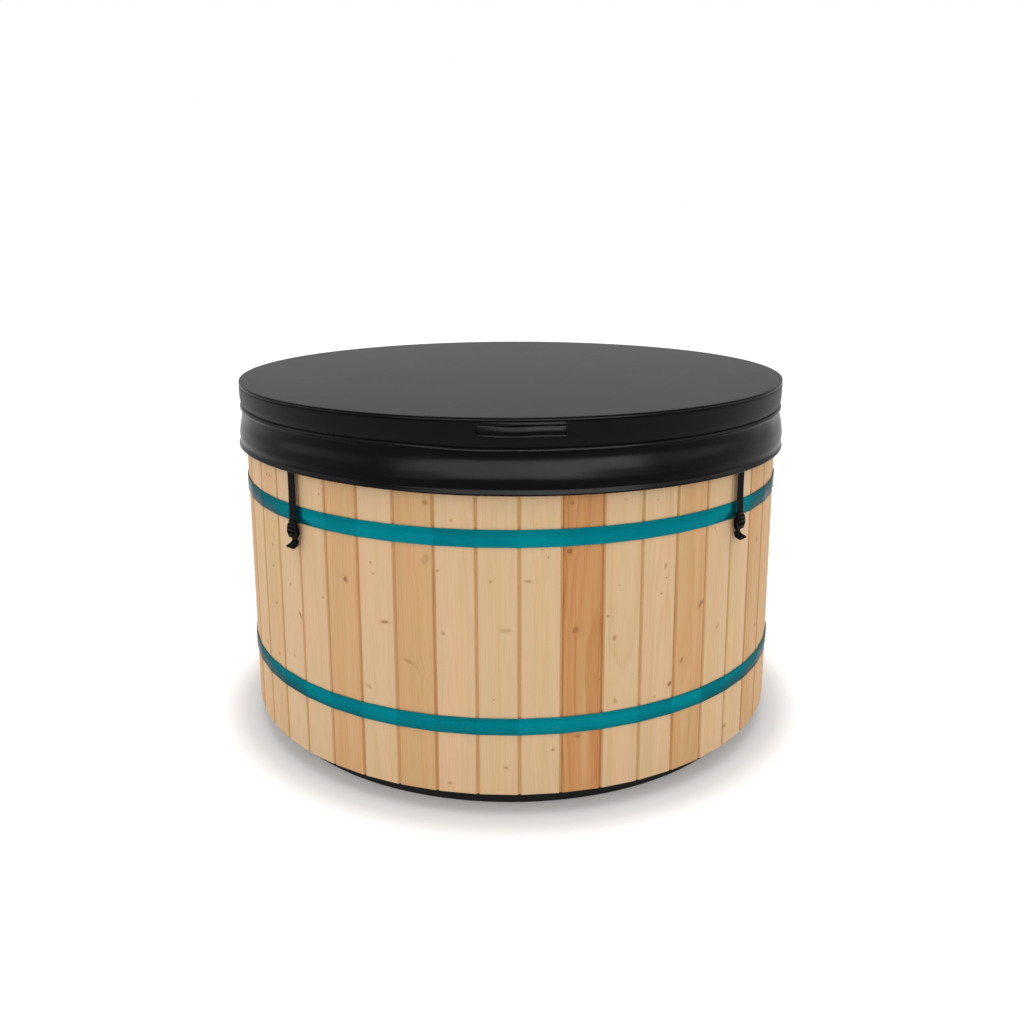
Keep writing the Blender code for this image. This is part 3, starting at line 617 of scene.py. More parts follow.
@dataclass(frozen=True)
class SpruceFinish:
    """Planed spruce: growth rings, streaks, fibre, knots and darker chamfers, from each board's labels."""

    pale: Colour = srgb(216, 183, 144)
    straw: Colour = srgb(213, 176, 132)
    honey: Colour = srgb(206, 164, 116)
    amber: Colour = srgb(199, 139, 86)
    late_wood: Colour = (0.80, 0.64, 0.47)
    pink: Colour = (1.03, 0.985, 0.97)
    yellow: Colour = (0.97, 1.0, 0.965)
    chamfer: Colour = (0.88, 0.80, 0.66)
    smear: Colour = (0.80, 0.74, 0.66)
    knot_heart: Colour = srgb(160, 112, 66)
    knot_rim: Colour = srgb(86, 50, 22)
    smear_squeeze: float = 2.8
    least_radius: float = 0.00001
    far_off: float = 100.0

    def knots(self, graph: Graph, place: Socket, ragged: Socket) -> tuple[Socket, Socket, Socket, Socket]:
        """Draws a board's knots.

        Args:
            graph: the shader tree.
            place: the board's coordinates.
            ragged: noise that makes the knots' outlines uneven.

        Returns:
            The coordinate across, bent round the knots, the distance to the nearest knot in its radii,
            and how much of a knot and of its halo shows.
        """
        warped = graph.split(place)[0]
        nearest = graph.maths("ADD", ragged, self.far_off)
        shown = halo = graph.maths("MULTIPLY", ragged, 0.0)
        for number in range(1, KNOT_COUNT + 1):
            knot = graph.attribute(f"knot_{number}")
            strength, flatness, lean = graph.split(graph.attribute(f"look_{number}"))
            radius = graph.maths("MAXIMUM", graph.split(knot)[2], self.least_radius)
            beside, above, _ = graph.split(graph.vector("SUBTRACT", place, knot))
            above = graph.maths("MULTIPLY", graph.maths("MULTIPLY_ADD", beside, lean, above), flatness)
            length = graph.vector("LENGTH", graph.join(beside, above, 0.0))
            radii = graph.maths("DIVIDE", length, radius)
            fall = graph.maths("MULTIPLY_ADD", graph.maths("MULTIPLY", radii, radii), 0.16, 1.0)
            pull = graph.maths("DIVIDE", graph.maths("MULTIPLY", beside, 0.85), fall)
            warped = graph.maths("SUBTRACT", warped, pull)
            radii = graph.maths("ADD", radii, ragged)
            nearest = graph.maths("MINIMUM", nearest, radii)
            inside = graph.maths("MULTIPLY", graph.spread(radii, 0.65, 1.2, 1.0, 0.0), strength)
            around = graph.maths("MULTIPLY", graph.spread(radii, 1.0, 2.4, 0.55, 0.0), strength)
            shown = graph.maths("MAXIMUM", shown, inside)
            halo = graph.maths("MAXIMUM", halo, around)
        return warped, nearest, shown, halo

    def rings(self, graph: Graph, seeded: Socket, grown: Socket, figure: Socket) -> Socket:
        """Draws the late wood: the year rings that a board cuts, and stray veins.

        Args:
            graph: the shader tree.
            seeded: the board's coordinates, moved by its seed.
            grown: the coordinate across, bent round the knots, the height and the seed.
            figure: how strong the board's grain is.

        Returns:
            How much late wood shows.
        """
        heart, depth, spacing = graph.split(graph.attribute("grain"))
        middle = graph.swing(graph.streaks(seeded, (0.0, 1.3, 1.0), 1.0), 0.02, heart)
        below = graph.swing(graph.streaks(seeded, (0.0, 0.8, -1.0), 1.0), 0.03, depth)
        aside = graph.maths("SUBTRACT", graph.split(grown)[0], middle)
        squared = graph.maths("MULTIPLY_ADD", aside, aside, graph.maths("MULTIPLY", below, below))
        from_pith = graph.maths("DIVIDE", graph.maths("SQRT", squared), spacing)
        wobble = graph.streaks(seeded, (26.0, 3.0, 1.0))
        years = graph.maths("MULTIPLY_ADD", wobble, 0.7, from_pith)
        season = graph.maths("FRACT", years)
        rise = graph.maths("POWER", graph.spread(season, 0.25, 0.88), 1.8)
        late = graph.maths("MULTIPLY", rise, graph.spread(season, 0.90, 1.0, 1.0, 0.0))
        year = graph.add("TexWhiteNoise", {"W": graph.maths("FLOOR", years)}, noise_dimensions="1D")
        late = graph.maths("MULTIPLY", late, graph.spread(year.outputs[0], 0.0, 1.0, 0.35, 1.0))
        late = graph.maths("MULTIPLY", late, figure)
        vein = graph.spread(graph.streaks(grown, (150.0, 1.0, 1.0)), 0.56, 0.74, 0.0, 0.8)
        return graph.maths("MULTIPLY_ADD", vein, figure, late, clamp=True)

    def paint(self) -> Material:
        """Makes the material.

        Returns:
            The material.
        """
        graph = Graph("spruce")
        place = graph.uv(BOARD_MAP)
        tone, seed, figure = graph.split(graph.attribute("mark"))
        seeded = graph.vector("ADD", place, graph.join(seed, seed, seed))
        speck = graph.streaks(seeded, (90.0, 60.0, 1.0))
        ragged = graph.maths("MULTIPLY_ADD", speck, 0.7, -0.35)
        warped, nearest, shown, halo = self.knots(graph, place, ragged)
        grown = graph.join(warped, graph.split(place)[1], seed)
        late = self.rings(graph, seeded, grown, figure)

        streak = graph.streaks(seeded, (24.0, 0.8, 1.0), 3.0, 0.6)
        toned = graph.swing(streak, 0.8, tone, clamp=True)
        stops = ((0.0, self.pale), (0.33, self.straw), (0.66, self.honey), (1.0, self.amber))
        colour = graph.tint(late, graph.ramp(toned, stops), self.late_wood)
        fibre = graph.streaks(seeded, (700.0, 9.0, 1.0))
        shade = graph.spread(fibre, 0.25, 0.75, 0.94, 1.05)
        colour = graph.tint(1.0, colour, graph.join(shade, shade, shade))
        patch = graph.streaks(seeded, (14.0, 3.0, 1.0))
        colour = graph.tint(1.0, colour, graph.mottled(patch, 0.35, 0.65, self.pink, self.yellow))

        colour = graph.tint(halo, colour, self.late_wood)
        rim, heart = self.knot_rim, self.knot_heart
        stops = ((0.0, rim), (0.2, heart), (0.5, heart), (0.85, rim))
        colour = graph.blend(shown, colour, graph.ramp(nearest, stops))
        smear = graph.attribute("smear")
        away = graph.vector("SUBTRACT", place, smear)
        away = graph.vector("LENGTH", graph.vector("MULTIPLY", away, (1.0, self.smear_squeeze, 0.0)))
        far = graph.maths("DIVIDE", away, graph.split(smear)[2])
        soft = graph.spread(graph.maths("MULTIPLY_ADD", speck, 0.6, far), 0.6, 1.4, 0.9, 0.0)
        colour = graph.tint(soft, colour, self.smear)
        colour = graph.tint(graph.attribute("edge", "Fac"), colour, self.chamfer)

        relief = graph.maths("MULTIPLY_ADD", fibre, 0.5, graph.maths("MULTIPLY", late, -0.8))
        return graph.finish(
            Base_Color=colour,
            Roughness=graph.spread(streak, 0.3, 0.7, 0.52, 0.66),
            Specular_IOR_Level=0.25,
            Normal=graph.bump(relief, 0.0002, 0.6),
        )


@dataclass(frozen=True)
class BenchWoodFinish:
    """Heat-treated bench wood with its grain along each slat."""

    light: Colour = (0.40, 0.225, 0.115)
    dark: Colour = (0.23, 0.115, 0.055)

    def paint(self) -> Material:
        """Makes the material.

        Returns:
            The material.
        """
        graph = Graph("bench_wood")
        place = graph.uv(SLAT_MAP)
        streak = graph.streaks(place, (55.0, 1.6, 0.0), 4.0, 0.6)
        fibre = graph.streaks(place, (800.0, 14.0, 0.0))
        colour = graph.mottled(streak, 0.32, 0.68, self.light, self.dark)
        shade = graph.spread(fibre, 0.25, 0.75, 0.9, 1.06)
        return graph.finish(
            Base_Color=graph.tint(1.0, colour, graph.join(shade, shade, shade)),
            Roughness=graph.spread(streak, 0.3, 0.7, 0.48, 0.62),
            Specular_IOR_Level=0.3,
            Normal=graph.bump(fibre, 0.0002, 0.6),
        )


@dataclass(frozen=True)
class HoopFinish:
    """Steel band in a metallic coat: a faint mottle, a fine orange-peel skin and darker glancing edges."""

    coat: Colour = srgb(0, 121, 131)
    worn: Colour = srgb(0, 106, 116)

    def paint(self) -> Material:
        """Makes the material.

        Returns:
            The material.
        """
        graph = Graph("hoop_coat")
        place = graph.place()
        mottle = graph.noise(graph.vector("MULTIPLY", place, (1.0, 1.0, 3.0)), 7.0, 4.0, 0.6)
        peel = graph.noise(place, 420.0, 1.0)
        share = graph.swing(mottle, 1.2, graph.attribute("facet", "Fac"), clamp=True)
        return graph.finish(
            Base_Color=graph.blend(share, self.coat, self.worn),
            Metallic=0.75,
            Roughness=graph.spread(mottle, 0.3, 0.7, 0.24, 0.32),
            Specular_IOR_Level=0.03,
            Specular_Tint=(0.46, 0.29, 0.27, 1.0),
            Normal=graph.bump(peel, 0.00002, 0.4),
        )


@dataclass(frozen=True)
class VinylFinish:
    """Black marine vinyl: a pebbled skin, slightly dusty, with softer gloss where it is stretched."""

    name: str
    rough: float
    skin: Colour = srgb(12, 12, 13)
    dust: Colour = srgb(18, 18, 19)
    gloss: float = 0.065

    def paint(self) -> Material:
        """Makes the material.

        Returns:
            The material.
        """
        graph = Graph(self.name)
        place = graph.place()
        cloud = graph.noise(place, 5.0, 4.0, 0.6)
        pebble = graph.add("TexVoronoi", {"Vector": place, "Scale": 700.0}, feature="SMOOTH_F1").outputs[0]
        return graph.finish(
            Base_Color=graph.mottled(cloud, 0.35, 0.75, self.skin, self.dust, 0.6),
            Roughness=graph.spread(cloud, 0.3, 0.7, self.rough - 0.01, self.rough + 0.01),
            Specular_IOR_Level=self.gloss,
            Normal=graph.bump(pebble, 0.00012, 0.4),
        )


@dataclass(frozen=True)
class WebbingFinish:
    """Black woven webbing, from coordinates across and along the strap in metres."""

    yarn: Colour = (0.003, 0.003, 0.0032)
    crown: Colour = (0.009, 0.009, 0.0095)
    warp_pitch: float = 0.0022
    weft_pitch: float = 0.0016

    def paint(self) -> Material:
        """Makes the material.

        Returns:
            The material.
        """
        graph = Graph("webbing")
        across, along, _ = graph.split(graph.uv(STRAP_MAP))
        warp = graph.maths("SINE", graph.maths("MULTIPLY", across, math.tau / self.warp_pitch))
        weft = graph.maths("SINE", graph.maths("MULTIPLY", along, math.tau / self.weft_pitch))
        weave = graph.maths("MULTIPLY", warp, weft)
        return graph.finish(
            Base_Color=graph.mottled(weave, -1.0, 1.0, self.yarn, self.crown),
            Roughness=graph.spread(weave, -1.0, 1.0, 0.75, 0.9),
            Specular_IOR_Level=0.06,
            Normal=graph.bump(weave, 0.0003, 0.7),
        )


@dataclass(frozen=True)
class PlasticFinish:
    """Moulded plastic with a fine spark-eroded grain and faint cloudy wear."""

    name: str
    base: Colour
    worn: Colour
    rough: float
    grain: float = 900.0
    gloss: float = 0.3

    def paint(self) -> Material:
        """Makes the material.

        Returns:
            The material.
        """
        graph = Graph(self.name)
        place = graph.place()
        cloud = graph.noise(place, 9.0, 4.0, 0.6)
        grain = graph.noise(place, self.grain, 2.0)
        return graph.finish(
            Base_Color=graph.mottled(cloud, 0.4, 0.75, self.base, self.worn, 0.7),
            Roughness=graph.spread(cloud, 0.3, 0.7, self.rough - 0.06, self.rough + 0.06),
            Specular_IOR_Level=self.gloss,
            Normal=graph.bump(grain, 0.00008, 0.4),
        )


@dataclass(frozen=True)
class MetalFinish:
    """Turned or rolled metal with fine tool marks and a little tarnish."""

    name: str
    base: Colour
    tarnish: Colour
    rough: float = 0.32

    def paint(self) -> Material:
        """Makes the material.

        Returns:
            The material.
        """
        graph = Graph(self.name)
        place = graph.place()
        cloud = graph.noise(place, 22.0, 4.0, 0.6)
        marks = graph.streaks(place, (1400.0, 1400.0, 60.0), 1.0)
        return graph.finish(
            Base_Color=graph.mottled(cloud, 0.4, 0.75, self.base, self.tarnish, 0.8),
            Metallic=1.0,
            Roughness=graph.spread(cloud, 0.3, 0.7, self.rough - 0.06, self.rough + 0.1),
            Normal=graph.bump(marks, 0.00004, 0.5),
        )


@dataclass(frozen=True)
class FoamFinish:
    """Pale closed-cell foam with visible beads."""

    cell: Colour = (0.78, 0.76, 0.70)
    gap: Colour = (0.60, 0.57, 0.50)

    def paint(self) -> Material:
        """Makes the material.

        Returns:
            The material.
        """
        graph = Graph("foam")
        beads = graph.add("TexVoronoi", {"Vector": graph.place(), "Scale": 260.0}).outputs[0]
        return graph.finish(
            Base_Color=graph.mottled(beads, 0.3, 0.7, self.cell, self.gap),
            Roughness=graph.spread(beads, 0.2, 0.8, 0.85, 0.95),
            Normal=graph.bump(beads, 0.0006, 0.5),
        )


@dataclass(frozen=True)
class Palette:
    """Every finish, painted once."""

    spruce: Material
    bench_wood: Material
    hoop: Material
    black_plastic: Material
    buckle: Material
    liner: Material
    foam: Material
    vinyl: Material
    # Painted shade: the cover's vinyl in a darker colour, for the skirt, piping and handles.
    apron_vinyl: Material
    webbing: Material
    thread: Material
    steel: Material
    brass: Material
    lever: Material

    @classmethod
    def painted(cls) -> "Palette":
        """Paints all the finishes."""
        black = PlasticFinish("black_plastic", srgb(24, 24, 25), srgb(33, 33, 34), 0.5, gloss=0.2)
        buckle = PlasticFinish("buckle_plastic", srgb(9, 8, 9), srgb(14, 13, 14), 0.42, gloss=0.05)
        liner = PlasticFinish("liner_plastic", (0.060, 0.065, 0.070), (0.075, 0.080, 0.085), 0.4)
        lever = PlasticFinish("lever_coat", (0.35, 0.02, 0.02), (0.28, 0.016, 0.016), 0.38, gloss=0.45)
        thread = PlasticFinish("thread", srgb(5, 5, 5), srgb(8, 8, 9), 0.7, 2600.0, 0.05)
        return cls(
            spruce=SpruceFinish().paint(),
            bench_wood=BenchWoodFinish().paint(),
            hoop=HoopFinish().paint(),
            black_plastic=black.paint(),
            buckle=buckle.paint(),
            liner=liner.paint(),
            foam=FoamFinish().paint(),
            vinyl=VinylFinish("vinyl", 0.42).paint(),
            # The apron's vinyl is the cover's black vinyl with a darker colour: painted shade on the skirt,
            # piping and handles.
            apron_vinyl=VinylFinish("apron_vinyl", 0.27, srgb(4, 4, 5), srgb(8, 8, 9), 0.04).paint(),
            webbing=WebbingFinish().paint(),
            thread=thread.paint(),
            steel=MetalFinish("steel", (0.56, 0.56, 0.55), (0.42, 0.42, 0.41)).paint(),
            brass=MetalFinish("brass", (0.70, 0.52, 0.24), (0.52, 0.36, 0.15)).paint(),
            lever=lever.paint(),
        )


@dataclass(frozen=True)
class Board:
    """One board: its tone, its knots, how strong its grain is and one wide smear.

    Each knot and the smear have a share across the board, a height in metres and a radius in millimetres.
    A knot that stands out also has its strength, how flat it lies and how it leans. The others look as usual.
    """

    tone: Tone
    knots: tuple[tuple[float, ...], ...] = ()
    figure: float = 0.16
    smear: Triple = (0.5, -1.0, 1.0)
    usual_look: Triple = (0.6, 1.2, 0.0)

    def marks(self) -> Iterator[tuple[Triple, Triple]]:
        """Gives each knot's place and size, and its look."""
        for knot in self.knots:
            yield knot[:3], knot[3:] or self.usual_look


FRONT_BOARDS: dict[int, Board] = {
    38: Board(Tone.HONEY, ((0.4, 0.52, 4), (0.6, 0.2, 3))),
    39: Board(Tone.STRAW, ((0.69, 0.3185, 4),)),
    40: Board(
        Tone.STRAW,
        (
            (0.36, 0.855, 4),
            (0.56, 0.856, 4.5),
            (0.55, 0.65, 4.5),
            (0.53, 0.584, 4),
            (0.61, 0.4725, 4.5),
            (0.61, 0.315, 4.5),
        ),
    ),
    41: Board(Tone.PALE, ((0.88, 0.4775, 7, 0.75, 1.3, 0.9), (0.45, 0.5575, 3), (0.49, 0.3415, 4))),
    42: Board(Tone.PALE, ((0.83, 0.848, 3.5), (0.83, 0.554, 3.5))),
    43: Board(Tone.HONEY, ((0.6, 0.625, 6, 0.9, 0.9, 0.2),), 0.35),
    44: Board(
        Tone.PALE,
        (
            (0.36, 0.686, 2.5),
            (0.42, 0.655, 2.5),
            (0.72, 0.525, 10, 0.7, 2.4, -0.1),
            (0.19, 0.331, 8, 0.4, 2.2, 0.4),
        ),
    ),
    45: Board(
        Tone.HONEY,
        ((0.83, 0.864, 6), (0.8, 0.712, 11, 0.22, 0.9, -0.5), (0.33, 0.4225, 12, 0.4, 2.6, 0.5)),
        0.35,
    ),
    46: Board(
        Tone.PALE,
        ((0.43, 0.82, 3.5), (0.09, 0.684, 3), (0.2, 0.5135, 4, 0.5, 1.0, 0.0), (0.31, 0.0865, 4)),
    ),
    47: Board(
        Tone.PALE,
        ((0.33, 0.66, 4, 0.4, 1.0, 0.0), (0.4, 0.334, 2.5), (0.68, 0.14, 4)),
        0.16,
        (0.68, 0.5275, 22),
    ),
    0: Board(
        Tone.PALE,
        ((0.67, 0.723, 2.5), (0.52, 0.745, 2), (0.2, 0.661, 7, 0.55, 2.4, 0.1), (0.81, 0.187, 4)),
    ),
    1: Board(
        Tone.AMBER,
        (
            (0.21, 0.865, 5),
            (0.16, 0.738, 6, 0.95, 1.0, 0.0),
            (0.32, 0.522, 6.5, 0.6, 1.0, -0.3),
            (0.41, 0.221, 5),
            (0.95, 0.377, 3),
        ),
        0.8,
    ),
    2: Board(
        Tone.PALE,
        (
            (0.11, 0.552, 3.5),
            (0.29, 0.489, 5, 0.5, 0.8, 0.0),
            (0.35, 0.309, 5, 0.4, 0.8, 0.2),
            (0.55, 0.863, 2.5),
        ),
        0.35,
        (0.41, 0.633, 8),
    ),
    3: Board(
        Tone.PALE,
        (
            (0.39, 0.852, 2),
            (0.68, 0.667, 3.5, 0.5, 0.6, 0.0),
            (0.71, 0.633, 2.5),
            (0.57, 0.591, 3),
            (0.9, 0.323, 6, 0.9, 1.0, -0.3),
            (0.45, 0.297, 3),
        ),
        0.35,
    ),
    4: Board(Tone.HONEY, ((0.88, 0.533, 9, 0.8, 1.7, -0.7), (0.25, 0.383, 5, 0.6, 0.8, -0.4)), 0.35),
    5: Board(Tone.PALE, ((0.57, 0.445, 6, 0.35, 1.3, -0.8), (0.32, 0.738, 3))),
    6: Board(Tone.PALE, ((0.08, 0.119, 5.5),)),
    7: Board(Tone.HONEY, ((0.61, 0.646, 5), (0.81, 0.37, 5))),
    8: Board(Tone.HONEY),
}


@dataclass
class StaveWall:
    """The wall of upright boards, two to a piece."""

    bench: Workbench
    material: Material
    inner_radius: float = 0.8223
    bottom: float = 0.060
    top: float = 0.9977
    chamfer: float = 0.0044
    side_gap: float = 0.0011
    tongue_width: float = 0.0042
    tongue_play: float = 0.002
    softening: float = 0.0005
    most_inset: float = 0.0006
    hole_start: float = 0.8
    hole_end: float = 0.9
    hole_aim: float = 0.01
    sunk_margin: float = 0.0008
    side_grain: float = 0.2
    seed: int = 29

    def build(self) -> None:
        """Builds the pairs of boards and bores the three holes for the pipes."""
        for pair in range(BOARD_COUNT // 2):
            bm = bmesh.new()
            for index in (2 * pair, 2 * pair + 1):
                merge(bm, self.board(index), Matrix.Rotation(self.azimuth(index), 4, "Z"))
            number = f"{pair + 1:02d}"
            nodes = [f"staves_{number}"]
            piece = self.bench.add(f"board_pair_{number}", bm, self.material, Slot.SPRUCE, nodes, 30.0)
            self.bore_for_pipes(piece, self.azimuth(2 * pair + 1))

    def azimuth(self, index: int) -> float:
        """The azimuth of a board's middle."""
        return FIRST_JOINT + (index + 0.5) * STAVE_PITCH

    def bore_for_pipes(self, piece: Piece, azimuth: float) -> None:
        """Bores a piece whose second board carries the heater ports or the drain."""
        if abs(azimuth - PORT_AZIMUTH) < self.hole_aim:
            self.bench.bore(piece, port_holes(self.hole_start, self.hole_end))
        if abs(azimuth - DRAIN_AZIMUTH) < self.hole_aim:
            self.bench.bore(piece, [drain_hole(self.hole_start, self.hole_end)])

    def board(self, index: int) -> BMesh:
        """Makes one board at the front, labelled for its finish.

        Args:
            index: the board's number, from the joint right of the middle and turning to the right.

        Returns:
            The board.
        """
        draw = random.Random(self.seed * 1000 + index)
        outer = TUB_RADIUS - draw.uniform(0.0, self.most_inset)
        slope = math.tan(STAVE_PITCH / 2)
        wide = 2 * (outer * slope - self.side_gap)
        narrow = 2 * (self.inner_radius * slope - self.side_gap)
        thickness = outer - self.inner_radius
        middle = (0.0, -self.inner_radius - thickness / 2, (self.top + self.bottom) / 2)
        bm = cuboid(wide, thickness, self.top - self.bottom, middle)
        back = [vert for vert in bm.verts if vert.co.y > middle[1]]
        bmesh.ops.scale(bm, vec=(narrow / wide, 1.0, 1.0), verts=back)
        front = [edge for edge in bm.edges if self.is_front_corner(edge, middle[1])]
        bevel(bm, front, self.chamfer, 1)
        bevel(bm, sharp_edges(bm, 30.0), self.softening, 1)
        merge(bm, self.tongue())
        self.label(bm, index, wide, draw)
        return bm

    def tongue(self) -> BMesh:
        """The tongue that shows at the bottom of the groove beside a board, at its joint."""
        front = TUB_RADIUS - self.chamfer - self.most_inset
        depth = front - self.inner_radius - self.tongue_play
        bm = cuboid(self.tongue_width, depth, self.top - self.bottom - 0.001, ORIGIN)
        reach = (front - depth / 2) / math.cos(STAVE_PITCH / 2)
        middle = Matrix.Translation((0.0, -reach, (self.top + self.bottom) / 2))
        move(bm, Matrix.Rotation(STAVE_PITCH / 2, 4, "Z") @ middle)
        return bm

    def is_front_corner(self, edge: Edge, middle: float) -> bool:
        """Whether an edge is one of a board's two upright corners outside."""
        return climb(edge) > 0.1 and all(vert.co.y < middle for vert in edge.verts)

    def label(self, bm: BMesh, index: int, width: float, draw: random.Random) -> None:
        """Writes the labels that the spruce finish reads: coordinates, tone, grain, chamfers and knots.

        Args:
            bm: the board at the front.
            index: the board's number.
            width: the width of its face.
            draw: the board's own random draw.
        """
        board = FRONT_BOARDS.get(index) or self.drawn_board(draw)
        vectors = bm.faces.layers.float_vector
        mark = vectors.new("mark")
        grain = vectors.new("grain")
        smear = vectors.new("smear")
        edge = bm.faces.layers.float.new("edge")
        uv = bm.loops.layers.uv.new(BOARD_MAP)
        knots = [vectors.new(f"knot_{number}") for number in range(1, KNOT_COUNT + 1)]
        looks = [vectors.new(f"look_{number}") for number in range(1, KNOT_COUNT + 1)]
        tone = min(max(board.tone.value + draw.uniform(-0.12, 0.12), 0.0), 1.0)
        label = Vector((tone, 3.0 * index + draw.random(), board.figure))
        rings = Vector((draw.uniform(-0.09, 0.09), draw.uniform(0.14, 0.34), draw.uniform(0.003, 0.005)))
        groove = TUB_RADIUS - self.chamfer + self.sunk_margin
        for face in bm.faces:
            face[mark] = label
            face[grain] = rings
            face[smear] = self.spot(board.smear, width)
            chamfered = -face.calc_center_median().y < groove or 0.3 < abs(face.normal.x) < 0.95
            face[edge] = 1.0 if face.normal.y < -0.3 and chamfered else 0.0
            for knot, look, (spot, seen) in zip(knots, looks, board.marks()):
                face[knot] = self.spot(spot, width)
                face[look] = Vector(seen)
            for loop in face.loops:
                point = loop.vert.co
                loop[uv].uv = (point.x + self.side_grain * (point.y + TUB_RADIUS), point.z)

    def spot(self, mark: Triple, width: float) -> Vector:
        """The place on a board and the radius in metres of a knot or smear."""
        share, height, radius = mark
        return Vector(((share - 0.5) * width, height, radius / 1000))

    def drawn_board(self, draw: random.Random) -> Board:
        """A board that the front view doesn't show, drawn at random."""
        tone = draw.choice((Tone.PALE, Tone.PALE, Tone.STRAW, Tone.HONEY, Tone.HONEY, Tone.AMBER))
        knots = []
        for _ in range(draw.randint(2, 5)):
            place = (draw.uniform(0.1, 0.9), draw.uniform(0.1, 0.95), draw.uniform(3.0, 8.0))
            knots.append((*place, draw.uniform(0.3, 0.9), draw.uniform(0.8, 2.4), draw.uniform(-0.8, 0.8)))
        smear = (draw.uniform(0.3, 0.7), draw.uniform(0.1, 0.95), draw.uniform(5.0, 22.0))
        return Board(tone, tuple(knots), draw.uniform(0.25, 0.5), smear)


@dataclass
class Hoops:
    """The two coated bands with their clamp ears, bolts and nuts at the back."""

    bench: Workbench
    palette: Palette
    bottoms: tuple[tuple[str, float], ...] = (("upper", 0.752), ("lower", 0.2345))
    outer: float = 0.85508
    thickness: float = 0.0025
    width: float = 0.047
    rim: float = 0.0004
    play: float = 0.0004
    ear_half_gap: float = 0.01325
    ear_length: float = 0.030
    bend: float = 0.004
    bend_steps: int = 4
    board_steps: int = 6
    bolt_radius: float = 0.005
    bolt_play: float = 0.0002
    head_radius: float = 0.0092
    head_height: float = 0.0064
    nut_height: float = 0.008
    outstand: float = 0.006

    def build(self) -> None:
        """Builds both bands, each with its bolt and nut."""
        for place, bottom in self.bottoms:
            self.band(place, bottom)
            self.bolt(place, bottom + self.width / 2)

    def path_radius(self, azimuth: float) -> float:
        """The band's middle at an azimuth: flat along each board and bent over its corners."""
        aside = (azimuth - FIRST_JOINT) % STAVE_PITCH - STAVE_PITCH / 2
        flat = (TUB_RADIUS + self.play) / math.cos(aside)
        return min(flat, self.outer - self.thickness - self.play) + self.thickness / 2

    def band(self, place: str, bottom: float) -> None:
        """Bends one band from a strip, with its ears, and dresses it.

        Args:
            place: which hoop it is.
            bottom: the height of its lower edge.
        """
        radius = self.outer - self.thickness / 2
        start = math.pi + math.asin((self.ear_half_gap + self.bend) / radius)
        bm = bmesh.new()
        bm.verts.new(point_at(start, radius, bottom))
        spin(bm, math.tau - 2 * (start - math.pi), BOARD_COUNT * self.board_steps)
        for vert in bm.verts:
            azimuth = azimuth_of(vert.co)
            vert.co = point_at(azimuth, self.path_radius(azimuth), bottom)
        for end in [vert for vert in bm.verts if len(vert.link_edges) == 1]:
            self.ear(bm, end)
        raised = bmesh.ops.extrude_edge_only(bm, edges=bm.edges[:])
        bmesh.ops.translate(bm, vec=(0.0, 0.0, self.width), verts=raised_verts(raised))
        finish_faces(bm)
        facet = bm.faces.layers.float.new("facet")
        for face in bm.faces:
            board = math.floor((azimuth_of(face.calc_center_median()) - FIRST_JOINT) / STAVE_PITCH)
            face[facet] = random.Random(f"{place} {board}").random()
        coat = self.palette.hoop
        piece = self.bench.add(f"band_{place}", bm, coat, Slot.HOOP_COAT, [f"hoop_{place}"], 20.0)
        self.bench.soften(piece, self.thickness, 0, 0.0)
        rim = piece.modifiers.new("rim", "BEVEL")
        rim.width = self.rim
        rim.segments = 1

    def ear(self, bm: BMesh, end: Vert) -> None:
        """Bends one end of the band outwards into its clamp ear."""
        side = math.copysign(1.0, end.co.x)
        base = end.co.copy()
        tip = self.outer + self.ear_length
        points = []
        for step in range(1, self.bend_steps + 1):
            turn = math.pi / 2 * step / self.bend_steps
            across = base.x - side * self.bend * math.sin(turn)
            points.append((across, base.y + self.bend * (1.0 - math.cos(turn))))
        points += [(across, (base.y + self.bend + tip) / 2), (across, tip)]
        for across, depth in points:
            vert = bm.verts.new((across, depth, base.z))
            bm.edges.new((end, vert))
            end = vert

    def bolt(self, place: str, height: float) -> None:
        """The clamp bolt through both ears and its nut.

        Args:
            place: which hoop it closes.
            height: the height of its axis.
        """
        depth = self.outer + self.ear_length / 2
        along = Matrix.Translation((0.0, depth, height)) @ Matrix.Rotation(math.pi / 2, 4, "Y")
        ear = self.ear_half_gap + self.thickness / 2 + self.bolt_play
        nut_end = ear + self.nut_height
        end = -nut_end - self.outstand
        bolt = hexagon(self.head_radius, ear, ear + self.head_height, 0.0, 0.0008)
        shank = [(0.0, ear), (self.bolt_radius, ear), (self.bolt_radius, 0.0)]
        shank += threaded(self.bolt_radius, -0.001, end + 0.001, 0.0015, 0.0006)
        shank += [(0.0, end)]
        merge(bolt, lathe(shank, 24))
        nut = hexagon(self.head_radius, -nut_end, -ear, self.bolt_radius + self.bolt_play, 0.0006)
        for kind, bm in (("bolt", bolt), ("nut", nut)):
            move(bm, along)
            nodes = [f"hoop_{kind}_{place}"]
            self.bench.add(f"clamp_{kind}_{place}", bm, self.palette.steel, Slot.STEEL, nodes)


